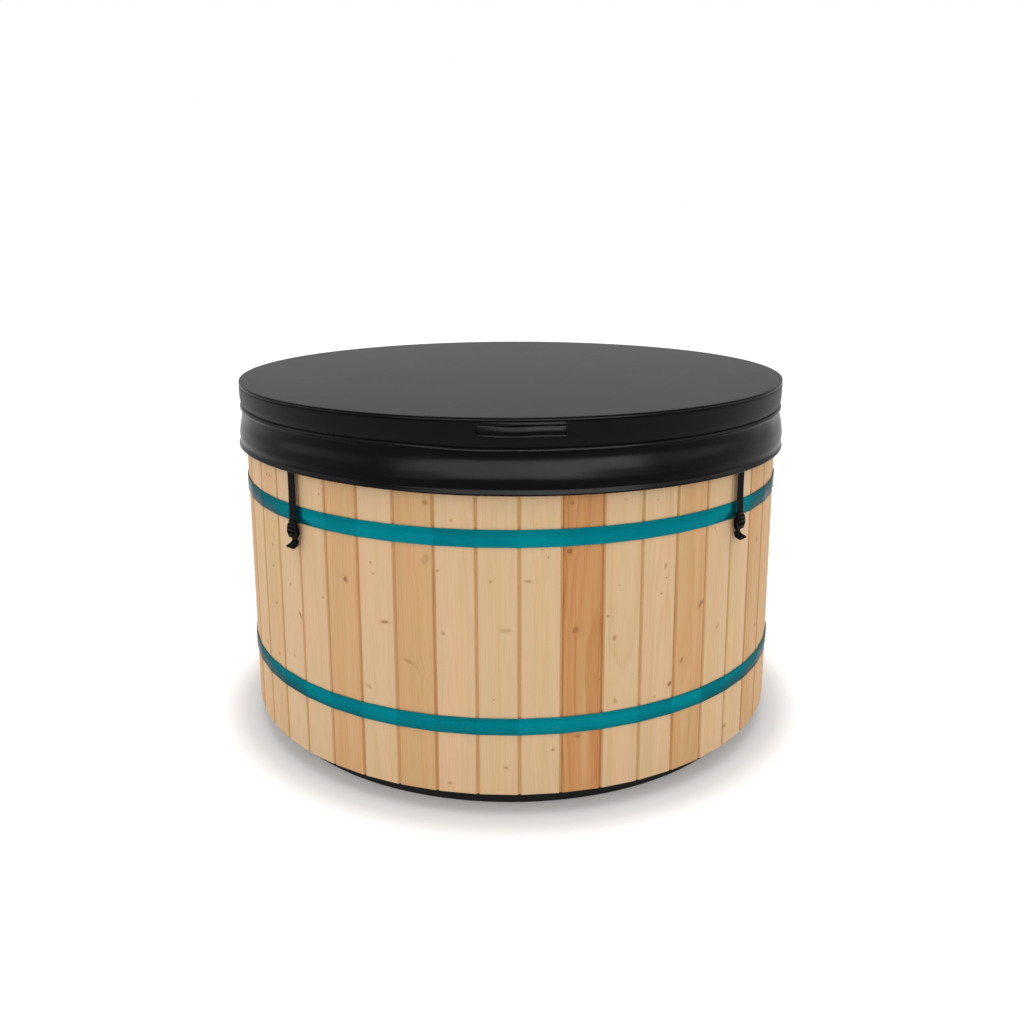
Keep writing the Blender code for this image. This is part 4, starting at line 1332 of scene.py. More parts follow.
@dataclass
class Shell:
    """The base, the water liner and the foam jacket round it."""

    bench: Workbench
    palette: Palette
    base_radius: float = 0.791
    base_height: float = 0.060
    rim_top: float = 1.008
    rim_outer: float = 0.855824
    rim_thickness: float = 0.010
    wall: float = 0.008
    ledge: float = 0.4547
    floor: float = 0.0603
    floor_thickness: float = 0.010
    hole_start: float = 0.6
    hole_end: float = 0.84

    def build(self) -> None:
        """Builds the base and the liner, and dresses the jacket."""
        self.base()
        self.liner()
        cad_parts["wall_insulation"].data.materials.clear()
        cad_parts["wall_insulation"].data.materials.append(self.palette.foam)

    def base(self) -> None:
        """The black base, with a grooved side and rounded rims."""
        edge = self.base_radius
        top = self.base_height
        profile = [(0.0, 0.0), (edge - 0.004, 0.0), (edge, 0.004), (edge, 0.024), (edge - 0.002, 0.026)]
        profile += [(edge - 0.002, 0.030), (edge, 0.032), (edge, top - 0.003), (edge - 0.003, top)]
        bm = lathe([*profile, (0.0, top)], 128, 0.0008)
        self.bench.add("base", bm, self.palette.black_plastic, Slot.BLACK_PLASTIC, ["base_plate"], 50.0)

    def liner(self) -> None:
        """The moulded liner, its ledge and its rim, bored for the pipes."""
        upper = LINER_RADII["upper"]
        lower = LINER_RADII["lower"]
        bed = self.floor + self.floor_thickness
        under = self.ledge - self.wall
        below_rim = self.rim_top - self.rim_thickness
        inner = [(0.0, bed), (lower - 0.020, bed), (lower - 0.006, bed + 0.006), (lower, bed + 0.020)]
        inner += [(lower, self.ledge), (upper, self.ledge), (upper, self.rim_top)]
        outer = [(self.rim_outer, self.rim_top), (self.rim_outer, below_rim), (upper + self.wall, below_rim)]
        outer += [(upper + self.wall, under), (lower + self.wall, under), (lower + self.wall, self.floor)]
        bm = lathe([*inner, *outer, (0.0, self.floor)], 144, 0.0032)
        piece = self.bench.add("water_liner", bm, self.palette.liner, Slot.LINER_PLASTIC, ["liner"], 50.0)
        holes = port_holes(self.hole_start, self.hole_end)
        self.bench.bore(piece, [*holes, drain_hole(self.hole_start, self.hole_end)])


@dataclass(frozen=True)
class SlatRow:
    """A row of slats round an arc: its radii, its heights, half of the arc and how many slats there are."""

    inner: float
    outer: float
    low: float
    high: float
    half: float
    count: int


@dataclass
class Seating:
    """The three bench seats of radial slats and the slatted risers that carry them."""

    bench: Workbench
    material: Material
    seat: SlatRow = SlatRow(0.445, 0.7794, 0.455, 0.485, math.radians(59.5), 9)
    riser: SlatRow = SlatRow(0.500, 0.530, 0.0706, 0.4547, math.radians(44.0), 7)
    seats: int = 3
    half_gap: float = 0.0015
    edge: float = 0.003

    def build(self) -> None:
        """Builds each seat and its riser."""
        for number in range(self.seats):
            middle = number * math.tau / self.seats
            for kind, row in (("seat", self.seat), ("riser", self.riser)):
                name = f"{kind}_slats_{number + 1}"
                nodes = [f"bench_{kind}_{number + 1}"]
                self.bench.add(name, self.slats(row, middle), self.material, Slot.BENCH_WOOD, nodes)

    def slats(self, row: SlatRow, middle: float) -> BMesh:
        """Makes a row of slats, with the grain's coordinates on each.

        Args:
            row: the sizes of the row.
            middle: the azimuth of the arc's middle.

        Returns:
            The slats in one mesh.
        """
        gap = self.half_gap / ((row.inner + row.outer) / 2)
        upright = row.high - row.low > row.outer - row.inner
        ring = [(row.inner, row.low), (row.outer, row.low), (row.outer, row.high), (row.inner, row.high)]
        bm = bmesh.new()
        for number in range(row.count):
            start = middle - row.half + 2 * row.half * number / row.count
            end = start + 2 * row.half / row.count
            slat = sector(ring, start + gap, end - gap, 4)
            bevel(slat, sharp_edges(slat, 60.0), self.edge)
            uv = slat.loops.layers.uv.new(SLAT_MAP)
            for loop in (loop for face in slat.faces for loop in face.loops):
                point = loop.vert.co
                radius = radius_of(point)
                aside = turn_past((start + end) / 2, point) * radius
                along, other = (point.z, radius) if upright else (radius, point.z)
                loop[uv].uv = (aside + other + 0.37 * number, along + 1.7 * number + 5.0 * middle)
            merge(bm, slat)
        return bm


@dataclass
class Fittings:
    """The heater ports with their lock nuts, and the drain with its ball valve and lever."""

    bench: Workbench
    palette: Palette
    port_radius: float = 0.045
    port_bore: float = 0.040
    port_edge: float = 0.0015
    port_tip: float = 0.900
    flange_radius: float = 0.064
    flange_thickness: float = 0.010
    nut_radius: float = 0.064
    nut_height: float = 0.018
    drain_radius: float = 0.0165
    drain_bore: float = 0.0125
    drain_flange: float = 0.032
    drain_flange_thickness: float = 0.006
    drain_tip: float = TUB_RADIUS + 0.022
    valve_start: float = TUB_RADIUS + CLEARANCE
    valve_radius: float = 0.024
    valve_waist: float = 0.0205
    valve_ball: float = 0.0225
    valve_length: float = 0.060
    outlet_length: float = 0.018
    outlet_bore: float = 0.0115
    boss_radius: float = 0.011
    boss_top: float = 0.031
    stem_radius: float = 0.006
    stem_height: float = 0.012
    hub_radius: float = 0.013
    lever_length: float = 0.105
    lever_start: float = 0.011
    lever_width: float = 0.018
    lever_thickness: float = 0.005
    wall_steps: int = 72

    def build(self) -> None:
        """Builds both ports, the drain and the lever."""
        for place in PORT_HEIGHTS:
            self.port(place)
        self.drain()
        self.valve()
        self.lever()

    def seat(self, wall: float, flange: float) -> float:
        """How far out a flat flange lies against the curved liner."""
        facet = wall * math.cos(math.pi / self.wall_steps)
        return math.sqrt(facet**2 - flange**2) - CLEARANCE

    @property
    def shoulder(self) -> float:
        """Where the valve's body ends and its outlet starts."""
        return self.valve_start + self.valve_length

    @property
    def ball(self) -> float:
        """The middle of the valve's ball."""
        return (self.drain_tip + CLEARANCE + self.shoulder) / 2

    def port(self, place: str) -> None:
        """A flanged steel port, threaded at its outer end, and its lock nut.

        Args:
            place: which port it is.
        """
        seat = self.seat(LINER_RADII[place], self.flange_radius)
        inside = seat - self.flange_thickness
        edge = self.port_edge
        outer = self.port_radius
        inner = self.port_bore
        flange = self.flange_radius
        tip = self.port_tip
        profile = [(outer, seat), (flange, seat), (flange, inside + 0.002), (flange - 0.002, inside)]
        profile += [(inner + edge, inside), (inner, inside + edge), (inner, tip - edge), (inner + edge, tip)]
        profile += [(outer - edge, tip)]
        profile += threaded(outer, tip - edge, TUB_RADIUS + 0.002, 0.0028, 0.0012)
        port = lathe(profile, 64, closed=True)
        low = TUB_RADIUS + CLEARANCE
        nut = hexagon(self.nut_radius, low, low + self.nut_height, outer + CLEARANCE, 0.0018)
        for name, node, bm in (("port", "port", port), ("lock_nut", "nut", nut)):
            move(bm, radial_frame(PORT_AZIMUTH, PORT_HEIGHTS[place]))
            nodes = [f"heater_{node}_{place}"]
            self.bench.add(f"{name}_{place}", bm, self.palette.steel, Slot.STEEL, nodes)

    def drain(self) -> None:
        """The flanged drain pipe."""
        outer = self.drain_radius
        inner = self.drain_bore
        flange = self.drain_flange
        tip = self.drain_tip
        seat = self.seat(LINER_RADII["lower"], flange)
        inside = seat - self.drain_flange_thickness
        profile = [(outer, tip), (outer, seat), (flange, seat), (flange, inside + 0.0015)]
        profile += [(flange - 0.0015, inside), (inner + 0.002, inside), (inner, inside + 0.002), (inner, tip)]
        bm = lathe(profile, 48, closed=True)
        move(bm, radial_frame(DRAIN_AZIMUTH, DRAIN_HEIGHT))
        self.bench.add("drain_tail", bm, self.palette.brass, Slot.BRASS, ["drain_pipe"])

    def valve(self) -> None:
        """The ball valve that is screwed on the drain pipe, with its stem."""
        start = self.valve_start
        shoulder = self.shoulder
        end = shoulder + self.outlet_length
        outlet = self.outlet_bore
        wide = self.valve_radius
        waist = self.valve_waist
        ball = self.valve_ball
        thread = self.drain_radius + CLEARANCE
        inside = self.drain_tip + CLEARANCE
        profile = [(0.0, end - 0.010), (outlet, end - 0.010), (outlet, end), (outlet + 0.004, end)]
        profile += threaded(self.drain_radius, end - 0.001, shoulder + 0.002, 0.0022, 0.001)
        profile += [(self.drain_radius, shoulder), (wide - 0.0015, shoulder), (wide, shoulder - 0.0015)]
        profile += [(wide, shoulder - 0.012), (waist, shoulder - 0.014), (ball, self.ball)]
        profile += [(waist, start + 0.018), (wide, start + 0.016), (wide, start + 0.0015)]
        profile += [(wide - 0.0015, start), (thread, start), (thread, inside), (0.0, inside)]
        bm = lathe(profile, 48)
        move(bm, radial_frame(DRAIN_AZIMUTH, DRAIN_HEIGHT))
        boss = self.boss_top
        top = boss + self.stem_height
        stem = [(self.boss_radius, 0.012), (self.boss_radius, boss - 0.001), (self.boss_radius - 0.001, boss)]
        stem += [(self.stem_radius, boss), (self.stem_radius, top - 0.001), (self.stem_radius - 0.001, top)]
        merge(bm, lathe([*stem, (0.0, top)], 32), self.stem_frame())
        self.bench.add("drain_ball_valve", bm, self.palette.brass, Slot.BRASS, ["drain_valve"])

    def stem_frame(self) -> Matrix:
        """The frame of the valve's stem, upright at the ball's middle."""
        return Matrix.Translation(point_at(DRAIN_AZIMUTH, self.ball, DRAIN_HEIGHT))

    def lever(self) -> None:
        """The lever: a flat hub on the stem and a bar with a rounded end."""
        low = self.boss_top + CLEARANCE
        high = low + self.lever_thickness
        eye = self.stem_radius + CLEARANCE
        hub = [(eye, low), (self.hub_radius, low), (self.hub_radius, high), (eye, high)]
        bm = lathe(hub, 32, 0.0007, closed=True)
        reach = self.lever_length - self.lever_start
        middle = (-self.lever_start - reach / 2, 0.0, (low + high) / 2)
        bar = block(reach, self.lever_width, self.lever_thickness, middle, 0.0005)
        bevel(bar, [edge for edge in bar.edges if self.is_tip(edge)], self.lever_width / 2 * 0.9, 6)
        merge(bm, bar)
        move(bm, self.stem_frame() @ Matrix.Rotation(DRAIN_AZIMUTH, 4, "Z"))
        coat = self.palette.lever
        self.bench.add("valve_lever", bm, coat, Slot.LEVER_COAT, ["drain_lever"], body=Body.LEVER.value)

    def is_tip(self, edge: Edge) -> bool:
        """Whether an edge is one of the two upright corners of the lever's far end."""
        return climb(edge) > 0.003 and min(vert.co.x for vert in edge.verts) < 0.002 - self.lever_length


@dataclass
class Lid:
    """The padded lid: foam core, vinyl cover with its band, underside sheet, hanging skirt and handles."""

    bench: Workbench
    palette: Palette
    top: float = 1.0929
    bottom: float = 1.0083
    band_radius: float = 0.866524
    band_top: float = 1.077
    band_foot: float = 1.0085
    steps: int = 240
    hem_sag: float = 0.0056
    sheet: float = 0.0022
    seam_lift: float = 0.0045
    seam_left_lift: float = 0.0075
    hem_right_drop: float = 0.014
    skirt_slack: float = 0.0020
    fold_height: float = 1.072
    fold_reach: float = 0.0036
    handle_half: float = math.radians(7.6)
    handle_top: float = 1.0699
    handle_bottom: float = 1.0414
    handle_bow: float = 0.0070
    handle_gap: float = 0.0002
    handle_face: tuple[tuple[float, float], ...] = (
        (0.4, 1.6), (1.0, 0.4), (2.0, 0.0), (3.0, 1.0), (4.0, 4.5), (5.2, 9.5), (5.9, 14.0), (5.2, 18.5),
        (3.4, 22.0), (2.6, 23.6), (3.4, 25.4), (4.4, 27.2), (4.0, 28.3), (2.6, 28.6),
    )
    handle_back: tuple[tuple[float, float], ...] = (
        (1.0, 27.2), (0.9, 24.0), (1.8, 19.0), (2.6, 14.0), (1.9, 9.0), (0.7, 4.5),
    )
    sewn_end: float = 0.028

    def build(self) -> None:
        """Builds every layer of the lid, from the core outwards."""
        self.core()
        self.underside()
        self.cover()
        self.piping()
        self.skirt()
        for place, azimuth in (("front", LID_TURN), ("rear", LID_TURN + math.pi)):
            self.handle(place, azimuth)
            self.stitches(place, azimuth)

    def seam_rise(self, azimuth: float) -> float:
        """How far the seam under the band is pulled up at an azimuth: most at the left of the front."""
        left = window((-5.0, -22.0), (-115.0, -75.0), math.degrees(azimuth))
        return self.seam_lift + self.seam_left_lift * left

    def hem_drop(self, azimuth: float) -> float:
        """How far the skirt's hem hangs lower at an azimuth: most at the right of the front."""
        return self.hem_right_drop * window((-5.0, 60.0), (120.0, 80.0), math.degrees(azimuth))

    def slack(self, azimuth: float) -> float:
        """How far the lower half of the skirt's belly falls in at an azimuth: all round but at the middle."""
        return self.skirt_slack * (1.0 - window((-15.0, -6.0), (17.0, 8.0), math.degrees(azimuth)))

    def handle_fold(self, azimuth: float) -> float:
        """How far the band is pulled out above a handle at an azimuth."""
        degrees = math.degrees(math.remainder(azimuth - LID_TURN, math.pi))
        return self.fold_reach * window((-6.5, -3.0), (7.4, 6.0), degrees)

    def vinyl(self, name: str, bm: BMesh, material: Material, node: str) -> Piece:
        """Makes a piece of the lid's vinyl."""
        return self.bench.add(name, bm, material, Slot.VINYL, [node], 60.0, Body.LID.value)

    def core(self) -> None:
        """The foam slab, hidden inside the cover."""
        profile = [(0.0, 1.0106), (0.856, 1.0106), (0.8605, 1.045), (0.8605, 1.083), (0.853, 1.0888)]
        bm = lathe([*profile, (0.0, 1.0893)], 120, 0.003)
        foam = self.palette.foam
        piece = self.bench.add("foam_core", bm, foam, Slot.FOAM, ["lid_core"], body=Body.LID.value)

    def underside(self) -> None:
        """The lower skin, stretched under the core and sagging a little between its welds."""
        radii = [0.0, 0.08, 0.18, 0.28, 0.38, 0.48, 0.58, 0.66, 0.72, 0.77, 0.815, 0.845, 0.8575]
        bm = lathe([(radius, self.bottom + 0.0018) for radius in radii], 120)
        wave = Ripple(41, 0.0006, 3, 9)
        for vert in bm.verts:
            inside = 1.0 - smooth_step(0.45, 0.775, radius_of(vert.co))
            vert.co.z -= inside * (0.002 + wave.at(azimuth_of(vert.co)))
        for face in bm.faces:
            face.normal_update()
        if sum(face.normal.z * face.calc_area() for face in bm.faces) < 0.0:
            bmesh.ops.reverse_faces(bm, faces=bm.faces[:])
        piece = self.vinyl("underside_sheet", bm, self.palette.vinyl, "lid_underside")
        self.bench.soften(piece, 0.0015, 1)

    def cover(self) -> None:
        """The vinyl cover: a slightly crowned top, a piped edge seam and a band that bulges."""
        top = self.top
        flat = [(0.0, top), (0.2, top - 0.0001), (0.4, top - 0.0003), (0.6, top - 0.0007)]
        flat += [(0.72, top - 0.0010), (0.80, top - 0.0012), (0.84, top - 0.0013)]
        edge = [(0.857, 1.0914), (0.8632, 1.0912), (0.8654, 1.0906), (0.8661, 1.0896)]
        seam = [(0.8652, 1.0888), (0.8636, 1.0880), (0.8632, 1.084), (0.8636, 1.0803), (0.8650, 1.0794)]
        band = [(0.8662, 1.0780), (0.8666, 1.072), (0.8664, 1.062), (0.8665, 1.050), (0.8662, 1.038)]
        foot = [(0.8656, 1.028), (0.8646, 1.0205), (0.8632, 1.0150), (0.8618, 1.0112), (0.8606, 1.0090)]
        foot += [(0.8598, 1.0070), (0.8590, 1.0055)]
        bm = lathe(flat + edge + seam + band + foot, self.steps)
        wave = Ripple(5, 0.0012, 5, 17)
        flow = Ripple(8, 0.0009, 2, 7)
        for vert in bm.verts:
            azimuth = azimuth_of(vert.co)
            radius = radius_of(vert.co)
            height = vert.co.z
            if height < self.band_top:
                share = math.sin(math.pi * smooth_step(self.band_foot, self.band_top, height))
                push = share * (wave.at(azimuth) - 0.0003)
                if abs(height - self.fold_height) < 0.001:
                    push += self.handle_fold(azimuth)
                lifted = window((1.047, 1.022), (1.0075, self.band_foot), height)
                vert.co.z += self.seam_rise(azimuth) * lifted
                vert.co += outward(azimuth) * push
            elif radius > 0.3:
                vert.co.z += smooth_step(0.3, 0.8, radius) * (flow.at(azimuth) - flow.height)
        piece = self.vinyl("vinyl_cover", bm, self.palette.vinyl, "lid_cover")
        self.bench.soften(piece, self.sheet, 1)

    def piping(self) -> None:
        """The welt that is sewn between the top and the band: a flattened cord in its own strip of vinyl."""
        ring = [(0.8640, 1.0878), (0.8651, 1.0872), (0.8661, 1.0852), (0.8667, 1.0829), (0.8664, 1.0808)]
        ring += [(0.8652, 1.0799), (0.8641, 1.0804), (0.8638, 1.084)]
        bm = lathe(ring, self.steps, closed=True)
        wave = Ripple(23, 0.0005, 30, 70)
        for vert in bm.verts:
            azimuth = azimuth_of(vert.co)
            vert.co += outward(azimuth) * (wave.at(azimuth) - 0.0003)
        piece = self.vinyl("edge_piping", bm, self.palette.apron_vinyl, "lid_cover")
        self.bench.soften(piece)

    def skirt(self) -> None:
        """The apron below the seam: piped at its top, tucked in, bellied, and rolled at its hem."""
        pipe = [(0.8600, 1.0080), (0.8620, 1.0080), (0.8637, 1.0072), (0.8650, 1.0053), (0.8659, 1.0030)]
        pipe += [(0.8664, 1.0006), (0.8660, 0.9988), (0.8646, 0.9974), (0.8630, 0.9963), (0.8621, 0.9940)]
        body = [(0.8617, 0.9905), (0.8616, 0.9850), (0.8620, 0.9800), (0.8635, 0.9735), (0.8660, 0.9640)]
        body += [(0.8687, 0.9540), (0.8712, 0.9445), (0.8729, 0.9372), (0.8735, 0.9318), (0.8730, 0.9260)]
        tuck = [(0.8718, 0.9213), (0.8706, 0.9170), (0.8700, 0.9133), (0.8703, 0.9106), (0.8714, 0.9080)]
        lip = [(0.8726, 0.9050), (0.8735, 0.9024), (0.8736, 0.9009), (0.8729, 0.8999), (0.8717, 0.8995)]
        hem = [(0.8707, 0.8992), (0.8703, 0.8985), (0.8702, 0.8970)]
        bm = lathe(pipe + body + tuck + lip + hem, self.steps)
        belly = Ripple(13, 0.0020, 4, 15)
        pucker = Ripple(17, 0.0007, 22, 48)
        sag = Ripple(19, 0.0060, 5, 14)
        fold = Ripple(31, 0.0012, 9, 24)
        for vert in bm.verts:
            azimuth = azimuth_of(vert.co)
            height = vert.co.z
            low = window((1.000, 0.955), (0.899, 0.925), height)
            high = window((1.0035, 0.995), (0.945, 0.975), height)
            slanted = fold.at(azimuth + 3.5 * (height - 0.95))
            push = low * (belly.at(azimuth) + slanted) + high * pucker.at(azimuth)
            push -= self.slack(azimuth) * window((0.958, 0.938), (0.905, 0.925), height)
            vert.co += outward(azimuth) * push
            between = math.cos(2.0 * (azimuth - LID_TURN)) ** 2
            rise = self.seam_rise(azimuth) * smooth_step(0.972, 0.998, height)
            drop = self.hem_drop(azimuth) * smooth_step(0.985, 0.905, height)
            droop = self.hem_sag * between * smooth_step(0.96, 0.905, height)
            vert.co.z += low * sag.at(azimuth) + rise - drop - droop
        piece = self.vinyl("hanging_skirt", bm, self.palette.apron_vinyl, "lid_skirt")
        self.bench.soften(piece, self.sheet, 1)

    def handle(self, place: str, azimuth: float) -> None:
        """A sewn strip that bows out between its two stitched ends.

        Args:
            place: front or rear.
            azimuth: the azimuth of its middle.
        """
        half = self.handle_half
        bow_half = half - self.sewn_end / self.band_radius
        high = self.handle_top
        radius = self.band_radius + self.handle_gap
        points = self.handle_face + self.handle_back
        profile = [(radius + across / 1000, high - down / 1000) for across, down in points]
        bm = sector(profile, azimuth - half, azimuth + half, 48)
        for vert in bm.verts:
            aside = turn_past(azimuth, vert.co)
            share = min(abs(aside) / bow_half, 1.0)
            bow = self.handle_bow * math.cos(math.pi / 2 * share) ** 2
            out = radius_of(vert.co) - radius
            crumple = 0.0006 * math.sin(aside * 90.0) * (1.0 - share)
            relief = out * (self.handle_relief(aside / half) - 1.0)
            vert.co += outward(azimuth_of(vert.co)) * (bow + crumple + relief)
            vert.co.z += 0.0008 * math.sin(aside * 34.0)
        merge(bm, self.handle_tab(azimuth))
        piece = self.vinyl(f"grab_strip_{place}", bm, self.palette.apron_vinyl, f"lid_handle_{place}")
        self.bench.soften(piece)

    def handle_tab(self, azimuth: float) -> BMesh:
        """The strip above a handle that its upper edge is sewn to, thinning out to the left."""
        radius = self.band_radius + self.handle_gap
        half = self.handle_half
        tab = [(0.1, 0.8), (1.8, 1.0), (2.1, 2.2), (0.9, 8.8), (0.5, 9.4), (0.1, 8.8)]
        ring = [(radius + across / 1000, self.handle_top + up / 1000) for across, up in tab]
        bm = sector(ring, azimuth - 0.9 * half, azimuth + 0.97 * half, 28)
        for vert in bm.verts:
            share = turn_past(azimuth, vert.co) / half
            out = radius_of(vert.co) - radius
            thinning = 0.8 * (smooth_step(-0.85, -0.05, share) - 1.0)
            vert.co += outward(azimuth_of(vert.co)) * (out * thinning)
        return bm

    def handle_relief(self, share: float) -> float:
        """How much of its full form a handle has, from -1 at its left end, where it lies flat, to 1."""
        return 1.0 - 0.7 * smooth_step(-0.25, -0.95, share) - 0.55 * smooth_step(0.8, 1.0, share)

    def stitches(self, place: str, azimuth: float) -> None:
        """The rows of thread that hold a handle's two ends to the band.

        Args:
            place: front or rear.
            azimuth: the azimuth of the handle's middle.
        """
        bm = bmesh.new()
        for share in (-0.97, 0.965):
            turn = Matrix.Rotation(azimuth + share * self.handle_half, 4, "Z")
            for down in range(2, 28, 3):
                out = max(across for across, depth in self.handle_face if abs(depth - down) < 3.0)
                radius = self.band_radius + 0.0003 + out * self.handle_relief(share) / 1000
                middle = (0.0, -radius, self.handle_top - down / 1000)
                merge(bm, block(0.0022, 0.0016, 0.0026, middle, 0.0006), turn)
        name = f"handle_stitching_{place}"
        nodes = [f"lid_handle_{place}"]
        self.bench.add(name, bm, self.palette.thread, Slot.VINYL, nodes, body=Body.LID.value)


@dataclass
class Strap:
    """One lid strap of webbing, hung from the hem, and the ladder buckle that it runs through."""

    bench: Workbench
    palette: Palette
    place: str
    azimuth: float
    drop: float
    covered: float
    face_radius: float = 0.86524
    hinge_height: float = 0.8967
    width: float = 0.031
    width_steps: int = 6
    drop_steps: int = 13
    sway: float = 0.0006
    sheet: float = 0.002
    lap: float = 0.008
    hidden: float = 0.002
    tail: tuple[tuple[float, float], ...] = (
        (2.0, 2.5), (4.6, 5.6), (5.8, 9.0), (4.8, 12.6), (1.4, 16.0), (-3.4, 18.8), (-8.6, 20.8),
        (-13.6, 22.2), (-15.4, 23.8), (-14.8, 25.6), (-12.0, 26.0), (-7.4, 24.8), (-2.2, 22.6),
        (2.4, 19.6), (5.4, 16.2),
    )
    buckle_width: float = 0.046
    buckle_height: float = 0.040
    buckle_depth: float = 0.013
    buckle_edge: float = 0.0022

    def build(self) -> None:
        """Builds the strap and its buckle."""
        self.webbing()
        self.buckle()

    def hinge_frame(self) -> Matrix:
        """The frame at the strap's hinge: X along the hem, Y inwards and Z up."""
        point = point_at(self.azimuth, self.face_radius, self.hinge_height)
        return Matrix.Translation(point) @ Matrix.Rotation(self.azimuth, 4, "Z")

    def path(self) -> list[tuple[float, float]]:
        """The strap's middle line, inward and up from its hinge."""
        depth = self.sheet / 2
        foot = -self.drop - self.buckle_height
        top = self.hidden - self.covered if self.covered else self.lap
        points = [(depth, top)]
        for step in range(1, self.drop_steps + 1):
            share = step / self.drop_steps
            swayed = self.sway * math.sin(math.pi * share * 1.5)
            points.append((depth + swayed, top - (self.drop + top) * share))
        points += [(depth, -self.drop - self.buckle_height * share) for share in (0.25, 0.5, 0.75, 1.0)]
        points += [(depth + inward / 1000, foot - down / 1000) for inward, down in self.tail]
        return points

    def webbing(self) -> None:
        """The woven strap with its tail, folded over and curled outwards."""
        bm = bmesh.new()
        along = bm.verts.layers.float.new("along")
        verts = chain(bm, [(-self.width / 2, depth, height) for depth, height in self.path()])
        length = 0.0
        for first, second in zip(verts, verts[1:]):
            length += (second.co - first.co).length
            second[along] = length
        edges = bm.edges[:]
        for _ in range(self.width_steps):
            raised = bmesh.ops.extrude_edge_only(bm, edges=edges)
            fresh = set(raised_verts(raised))
            made = [item for item in raised["geom"] if isinstance(item, Edge)]
            edges = [edge for edge in made if fresh.issuperset(edge.verts)]
            bmesh.ops.translate(bm, vec=(self.width / self.width_steps, 0.0, 0.0), verts=list(fresh))
        uv = bm.loops.layers.uv.new(STRAP_MAP)
        for loop in (loop for face in bm.faces for loop in face.loops):
            loop[uv].uv = (loop.vert.co.x, loop.vert[along])
        bmesh.ops.recalc_face_normals(bm, faces=bm.faces[:])
        move(bm, self.hinge_frame())
        node = f"strap_{self.place}"
        name = f"webbing_{self.place}"
        piece = self.bench.add(
            name, bm, self.palette.webbing, Slot.WEBBING, [node], 60.0, body=f"{node}_body"
        )
        self.bench.soften(piece, self.sheet, 0, 0.0)

    def cheek(self, side: float, rail: float) -> BMesh:
        """One of the buckle's side rails, waisted at both ends.

        Args:
            side: -1 for the left one and 1 for the right one.
            rail: how wide it is.

        Returns:
            The rail.
        """
        foot = -self.buckle_height
        middle = (side * (self.buckle_width - rail) / 2, self.sheet / 2 - 0.0012, foot / 2)
        bm = block(rail, self.buckle_depth - 0.002, self.buckle_height, middle, self.buckle_edge)
        slices = [edge for edge in bm.edges if climb(edge) > 0.02]
        bmesh.ops.subdivide_edges(bm, edges=slices, cuts=6, use_grid_fill=True)
        for vert in bm.verts:
            neck = smooth_step(foot + 0.014, foot, vert.co.z)
            shoulder = smooth_step(-0.012, 0.0, vert.co.z)
            flare = math.exp(-(((vert.co.z + 0.023) / 0.007) ** 2))
            vert.co.x += side * (0.0014 * flare - 0.007 * neck - 0.004 * shoulder)
        return bm

    def buckle(self) -> None:
        """The ladder buckle: two side rails, and rounded bars before and behind the webbing."""
        rail = (self.buckle_width - self.width) / 2 - 0.0004
        span = self.buckle_width - rail
        foot = -self.buckle_height
        bm = bmesh.new()
        for side in (-1.0, 1.0):
            merge(bm, self.cheek(side, rail))
        bars = (
            (span - 0.006, 0.0080, 0.0100, -0.0008, 0.0045),
            (span - 0.002, 0.0062, 0.0072, -0.0046, -0.0060),
            (span, 0.0068, 0.0080, -0.0052, -0.0170),
            (span, 0.0050, 0.0072, 0.0040, -0.0100),
            (span - 0.008, 0.0050, 0.0080, -0.0042, foot + 0.0080),
            (span - 0.010, 0.0046, 0.0080, 0.0036, foot + 0.0100),
        )
        for width, thick, tall, across, height in bars:
            middle = (0.0, self.sheet / 2 + across, height)
            merge(bm, block(width, thick, tall, middle, self.buckle_edge))
        move(bm, self.hinge_frame() @ Matrix.Translation((0.0, 0.0, -self.drop)))
        node = f"buckle_{self.place}"
        plastic = self.palette.buckle
        self.bench.add(
            f"ladder_{node}", bm, plastic, Slot.BLACK_PLASTIC, [node], 40.0, body=f"{node}_body"
        )


